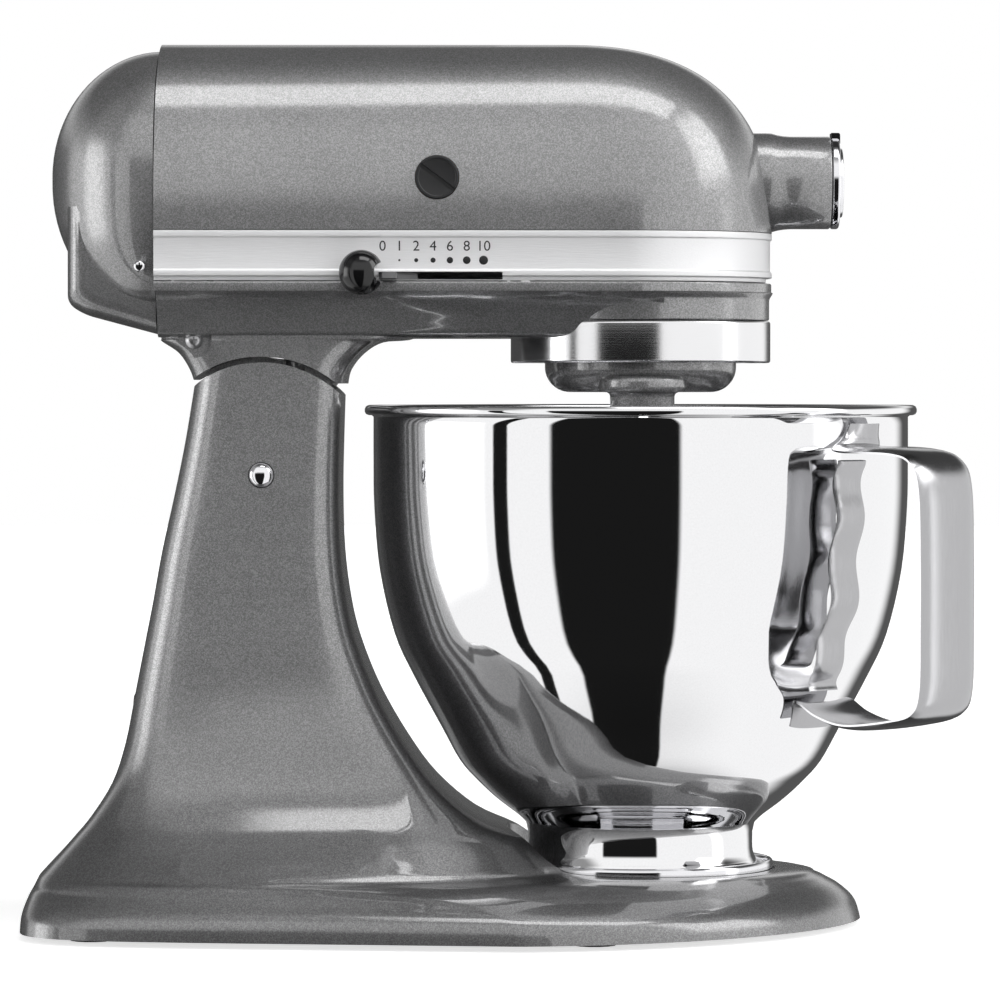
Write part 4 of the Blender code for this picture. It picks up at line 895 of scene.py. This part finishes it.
def make_brush_caps():
    for side, word in ((-1, "left"), (1, "right")):
        profile = rounded([(0, 0.0630), (0.0072, 0.0630), (0.0073, 0.0634), (0.0084, 0.0634),
                           (0.0084, 0.0600), (0.0066, 0.0600), (0.0066, 0.0560), (0, 0.0560)],
                          0.0003, 3)
        axis = "Y" if side > 0 else "-Y"
        cap = turned(f"brush_cap_{word}_slotted", profile, (BRUSH_X, 0, MOTOR_Z), axis, 72, 40)
        slot = box("slot", (-0.0090, -0.0008, -0.0010), (0.0090, 0.0008, 0.0020))
        slot.data.transform(Matrix.Translation((-BOWL_X, 0, 0)))
        turn = Matrix.Translation((BRUSH_X + BOWL_X, side * 0.0628, MOTOR_Z)) @ AXES[axis]
        slot.data.transform(turn @ Matrix.Rotation(math.radians(37 if side > 0 else -37), 4, "Z"))
        combine(cap, [("cut", slot)], 40)
        piece(cap, "satin_black", "head", f"brush_cap_{word}", slot="gloss_black")


def make_knobs():
    bm = bmesh.new()
    bmesh.ops.create_uvsphere(bm, u_segments=64, v_segments=40, radius=0.00875)
    bmesh.ops.translate(bm, vec=(-0.1100, -0.0738, 0.2595), verts=bm.verts)
    knob = mesh_object("speed_knob_ball", bm)
    steps = [
        ("cut", box("flat", (-0.1024, -0.09, 0.24), (-0.09, -0.05, 0.28))),
        ("cut", rod("scoop", 0.0042, (-0.1008, -0.09, 0.2595), 0.05, "Y", 60)),
        ("cut", box("back", (-0.13, -0.0662, 0.24), (-0.09, -0.05, 0.28))),
    ]
    combine(knob, steps, 40)
    piece(knob, "gloss_black", "speed_lever", "speed_knob")
    lock = rounded([(0, 0.0095), (0.0050, 0.0093), (0.0068, 0.0070), (0.0068, 0.0015), (0.0058, 0.0),
                    (0, 0.0)], 0.0015, 5)
    piece(turned("lock_knob_round", lock, (-0.0600, 0.0745, 0.2585), "Y", 56, 50), "gloss_black",
          "lock_lever", "lock_knob")
    grip = rounded([(0, 0.0120), (0.0072, 0.0120), (0.0090, 0.0100), (0.0090, 0.0020), (0.0078, 0.0),
                    (0.0030, 0.0), (0.0030, -0.0055), (0, -0.0055)], 0.0010, 4)
    body = turned("attachment_knob_grip", grip, (0.0660, 0.0195, MOTOR_Z), "Y", 72, 40)
    steps = []
    for i in range(12):
        a = TAU * i / 12
        steps.append(("cut", rod("flute", 0.0012,
                                 (0.0660 + 0.0098 * math.cos(a), 0.0205, MOTOR_Z + 0.0098 * math.sin(a)),
                                 0.02, "Y", 16)))
    combine(body, steps, 40)
    piece(body, "gloss_black", "attachment_screw", "attachment_knob")


def make_cord_grommet():
    inner = [(0.0040, 0.0150), (0.0040, 0.0012), (0.0046, 0.0004)]
    lip = [(0.0060, 0.0), (0.0070, 0.0003), (0.0071, 0.0010), (0.0071, 0.0150)]
    grommet = turned("cord_grommet_flush", inner + lip, (-0.2032, 0, 0.0850), "X", 48, 50)
    piece(grommet, "black_rubber", "stand", "cord_grommet")


def make_small_screws():
    """Cross-slotted heads for the rear cover screw and both housing screws."""
    cover = [(0, 0.0014), (0.0017, 0.0012), (0.0025, 0.0), (0.0012, 0.0), (0.0012, -0.007), (0, -0.007)]
    housing = [(0, 0.0020), (0.0020, 0.0017), (0.0036, 0.0), (0, 0.0)]
    jobs = (
        ("rear_cover_screw", (-0.1965, -0.0636, 0.2622), "-Y", cover, "chrome"),
        ("housing_screw_left", (-0.1767, -0.0393, 0.2336), "-Y", housing, "machined_steel"),
        ("housing_screw_right", (-0.1767, 0.0393, 0.2336), "Y", housing, "machined_steel"),
    )
    for node, at, axis, profile, finish in jobs:
        head = turned(f"{node}_head", rounded(profile, 0.0004, 3), at, axis, 40, 40)
        out = -1 if axis == "-Y" else 1
        top = at[1] + out * profile[0][1]
        low, high = sorted((top - out * 0.0007, top + out * 0.0005))
        bars = [box("bar", (at[0] - 0.0013, low, at[2] - 0.0003), (at[0] + 0.0013, high, at[2] + 0.0003)),
                box("bar", (at[0] - 0.0003, low, at[2] - 0.0013), (at[0] + 0.0003, high, at[2] + 0.0013))]
        combine(head, [("cut", bar) for bar in bars], 40)
        piece(head, finish, "head", node)


def make_beater():
    def ribbon(points, width, thick, closed):
        line = [Vector(p) for p in points]
        count = len(line)
        rings = []
        for i, p in enumerate(line):
            ahead = line[(i + 1) % count] if closed else line[min(i + 1, count - 1)]
            behind = line[i - 1] if closed or i else line[0]
            run = (ahead - behind).normalized()
            normal = Vector((-run.y, run.x))
            ring = []
            for k in range(16):
                a = TAU * k / 16
                q = p + normal * power(math.cos(a), 0.6) * width / 2
                ring.append((q.x, -PLANET_E + power(math.sin(a), 0.6) * thick / 2, q.y))
            rings.append(ring)
        return loft("ribbon", rings, closed, 50)

    half = [(0.0, 0.0535), (0.0120, 0.0540), (0.0210, 0.0590), (0.0310, 0.0710), (0.0430, 0.0880),
            (0.0510, 0.1060), (0.0535, 0.1220), (0.0500, 0.1350), (0.0380, 0.1430), (0.0150, 0.1500),
            (0.0, 0.1520)]
    right = smooth_path(half, 5)
    loop = right + [(-x, z) for x, z in reversed(right[1:-1])]
    sleeve = rounded([(0, 0.1985), (0.0114, 0.1985), (0.0120, 0.1975), (0.0120, 0.1560), (0.0100, 0.1480),
                      (0, 0.1480)], 0.0012, 4)
    beater = turned("flat_beater_casting", sleeve, (0, -PLANET_E, 0), segments=56, smooth_angle=40)
    steps = [("join", ribbon(loop, 0.0075, 0.0070, True)),
             ("join", ribbon([(0.0, 0.0545), (0.0, 0.1500)], 0.0070, 0.0060, False))]
    for side in (-1, 1):
        rib = smooth_path([(0.0, 0.0950), (side * 0.0250, 0.1120), (side * 0.0500, 0.1330)], 6)
        steps.append(("join", ribbon(rib, 0.0060, 0.0056, False)))
    steps.append(("cut", rod("bore", 0.0058, (0, -PLANET_E, 0.1700), 0.04, segments=40)))
    steps.append(("cut", box("slot", (-0.0130, -PLANET_E - 0.0024, 0.1830),
                             (0.0130, -PLANET_E + 0.0024, 0.1890))))
    combine(beater, steps, 40)
    piece(beater, "satin_steel", "agitator", "flat_beater")


# ---------------------------------------------------------------- studio


def band_mask(n, value, low, high, soft):
    rise = n.spread(value, low - soft, low + soft, smooth=True)
    fall = n.spread(value, high - soft, high + soft, 1.0, 0.0, smooth=True)
    return n.math("MULTIPLY", rise, fall)


# azimuth from the camera's side towards the hub, elevation, softness of each edge, strength
SIDE_LIGHTS = [
    (-102, -76, 6, -14, 18, 6, 2.2),
    (62, 94, 4, 16, 50, 5, 2.8),
    (80, 91, 4, -30, 10, 6, 0.9),
]
DARK_GAPS = [
    (-40, 15.5, 1.2, 1.0),
    (-67, -60, 0.5, 1.0),
    (146, 190, 8.0, 0.92),
    (-190, -126, 8.0, 0.95),
]
# window in x/z and its softness, the same in y/z, and its strength
OVERHEAD = (-0.11, 0.62, 0.05, -0.42, -0.04, 0.07, 3.8)


def make_world():
    """A studio as the reflections see it: white walls with dark gaps, softboxes and a pale table below."""
    world = bpy.data.worlds.new("studio")
    bpy.context.scene.world = world
    world.use_nodes = True
    n = Nodes(world.node_tree)
    world.node_tree.nodes.clear()
    coords = world.node_tree.nodes.new("ShaderNodeTexCoord")
    part = n.add("ShaderNodeSeparateXYZ", Vector=coords.outputs["Generated"])
    x, y, z = part.outputs
    azimuth = n.math("MULTIPLY", n.math("ARCTAN2", x, n.math("MULTIPLY", y, -1.0)), DEGREES)
    height = n.math("MULTIPLY", n.math("ARCSINE", z), DEGREES)
    low_part = n.spread(height, 6, 17, 1.0, 0.0, smooth=True)
    dark = 0.0
    for start, end, soft, depth in DARK_GAPS:
        strip = n.math("MULTIPLY", band_mask(n, azimuth, start, end, soft),
                       n.math("MULTIPLY", low_part, depth))
        dark = n.math("MAXIMUM", dark, strip)
    wall = n.spread(height, 44, 62, 1.10, 0.40, smooth=True)
    below = n.spread(height, -88, -50, 0.15, 1.0, smooth=True)
    behind = n.math("MULTIPLY", n.spread(y, -0.05, 0.20, smooth=True), n.spread(height, 10, 28, smooth=True))
    left = n.math("MULTIPLY", n.spread(azimuth, -66, -44, 1.0, 0.0, smooth=True),
                  n.spread(height, 8, 22, smooth=True))
    shade = n.math("SUBTRACT", 1.0,
                   n.math("MAXIMUM", n.math("MULTIPLY", behind, 0.92), n.math("MULTIPLY", left, 0.70)))
    bright = n.math("MULTIPLY", n.math("MULTIPLY", wall, below), shade)
    for start, end, soft, low, high, soft_z, level in SIDE_LIGHTS:
        window = n.math("MULTIPLY", band_mask(n, azimuth, start, end, soft),
                        band_mask(n, height, low, high, soft_z))
        bright = n.math("ADD", bright, n.math("MULTIPLY", window, level))
    strength = n.math("MULTIPLY", bright, n.math("SUBTRACT", 1.0, n.math("MULTIPLY", dark, 0.99)))
    up = n.math("MAXIMUM", z, 0.05)
    u0, u1, u_soft, v0, v1, v_soft, level = OVERHEAD
    across = band_mask(n, n.math("DIVIDE", x, up), u0, u1, u_soft)
    window = n.math("MULTIPLY", across, band_mask(n, n.math("DIVIDE", y, up), v0, v1, v_soft))
    strength = n.math("ADD", strength, n.math("MULTIPLY", window, level))
    seen = world.node_tree.nodes.new("ShaderNodeLightPath")
    light = n.add("ShaderNodeBackground", Color=(1, 1, 1, 1), Strength=strength)
    front = n.math("MULTIPLY", n.spread(y, -0.8, 0.10, 2.9, 0.12, smooth=True),
                   n.spread(z, 0.05, 0.75, 1.0, 0.15, smooth=True))
    fill = n.add("ShaderNodeBackground", Color=(1, 1, 1, 1), Strength=front)
    lit = world.node_tree.nodes.new("ShaderNodeMixShader")
    n.set(lit.inputs[0], seen.outputs["Is Diffuse Ray"])
    n.set(lit.inputs[1], light.outputs[0])
    n.set(lit.inputs[2], fill.outputs[0])
    plain = n.add("ShaderNodeBackground", Color=(1, 1, 1, 1), Strength=1.0)
    both = world.node_tree.nodes.new("ShaderNodeMixShader")
    n.set(both.inputs[0], seen.outputs["Is Camera Ray"])
    n.set(both.inputs[1], lit.outputs[0])
    n.set(both.inputs[2], plain.outputs[0])
    out = world.node_tree.nodes.new("ShaderNodeOutputWorld")
    n.set(out.inputs["Surface"], both.outputs[0])


def make_floor():
    bm = bmesh.new()
    bmesh.ops.create_circle(bm, cap_ends=True, segments=96, radius=6.0)
    mesh = bpy.data.meshes.new("floor")
    bm.to_mesh(mesh)
    bm.free()
    floor = bpy.data.objects.new("floor", mesh)
    bpy.context.scene.collection.objects.link(floor)
    made, n, shader = new_material("floor_white", Roughness=0.9)
    tone = n.noise(n.place(), 3.0, 2.0)
    n.set(shader.inputs["Base Color"], n.colours(tone, (0.955, 0.955, 0.955), (0.965, 0.965, 0.965)))
    shader.inputs["Emission Color"].default_value = (1, 1, 1, 1)
    shader.inputs["Emission Strength"].default_value = 0.66
    bounce = n.add("ShaderNodeBsdfDiffuse", Color=(0.40, 0.40, 0.40, 1))
    seen = made.node_tree.nodes.new("ShaderNodeLightPath")
    both = made.node_tree.nodes.new("ShaderNodeMixShader")
    n.set(both.inputs[0], seen.outputs["Is Camera Ray"])
    n.set(both.inputs[1], bounce.outputs[0])
    n.set(both.inputs[2], shader.outputs[0])
    n.set(made.node_tree.nodes["Material Output"].inputs["Surface"], both.outputs[0])
    floor.data.materials.append(made)
    floor.visible_glossy = False


def make_camera():
    camera = bpy.data.cameras.new("camera")
    camera.lens = 193.0
    camera.sensor_width = 36.0
    camera.clip_end = 50.0
    obj = bpy.data.objects.new("camera", camera)
    bpy.context.scene.collection.objects.link(obj)
    obj.location = (BOWL_X - 0.0563, -2.150, 0.2167)
    obj.rotation_euler = (math.radians(90 - 1.25), 0, 0)
    bpy.context.scene.camera = obj


make_camera()
make_world()
make_floor()
bpy.context.scene.view_settings.view_transform = "Standard"

dress_cad_nodes()
make_pedestal()
make_clamp_plate()
make_hinge_pin()
make_bowl()
make_handle()
make_upper_housing()
make_trim_band()
make_dial()
make_lower_housing()
make_rear_cover()
make_drip_ring()
make_planetary()
make_hub_cover()
make_brush_caps()
make_knobs()
make_small_screws()
make_cord_grommet()
make_beater()
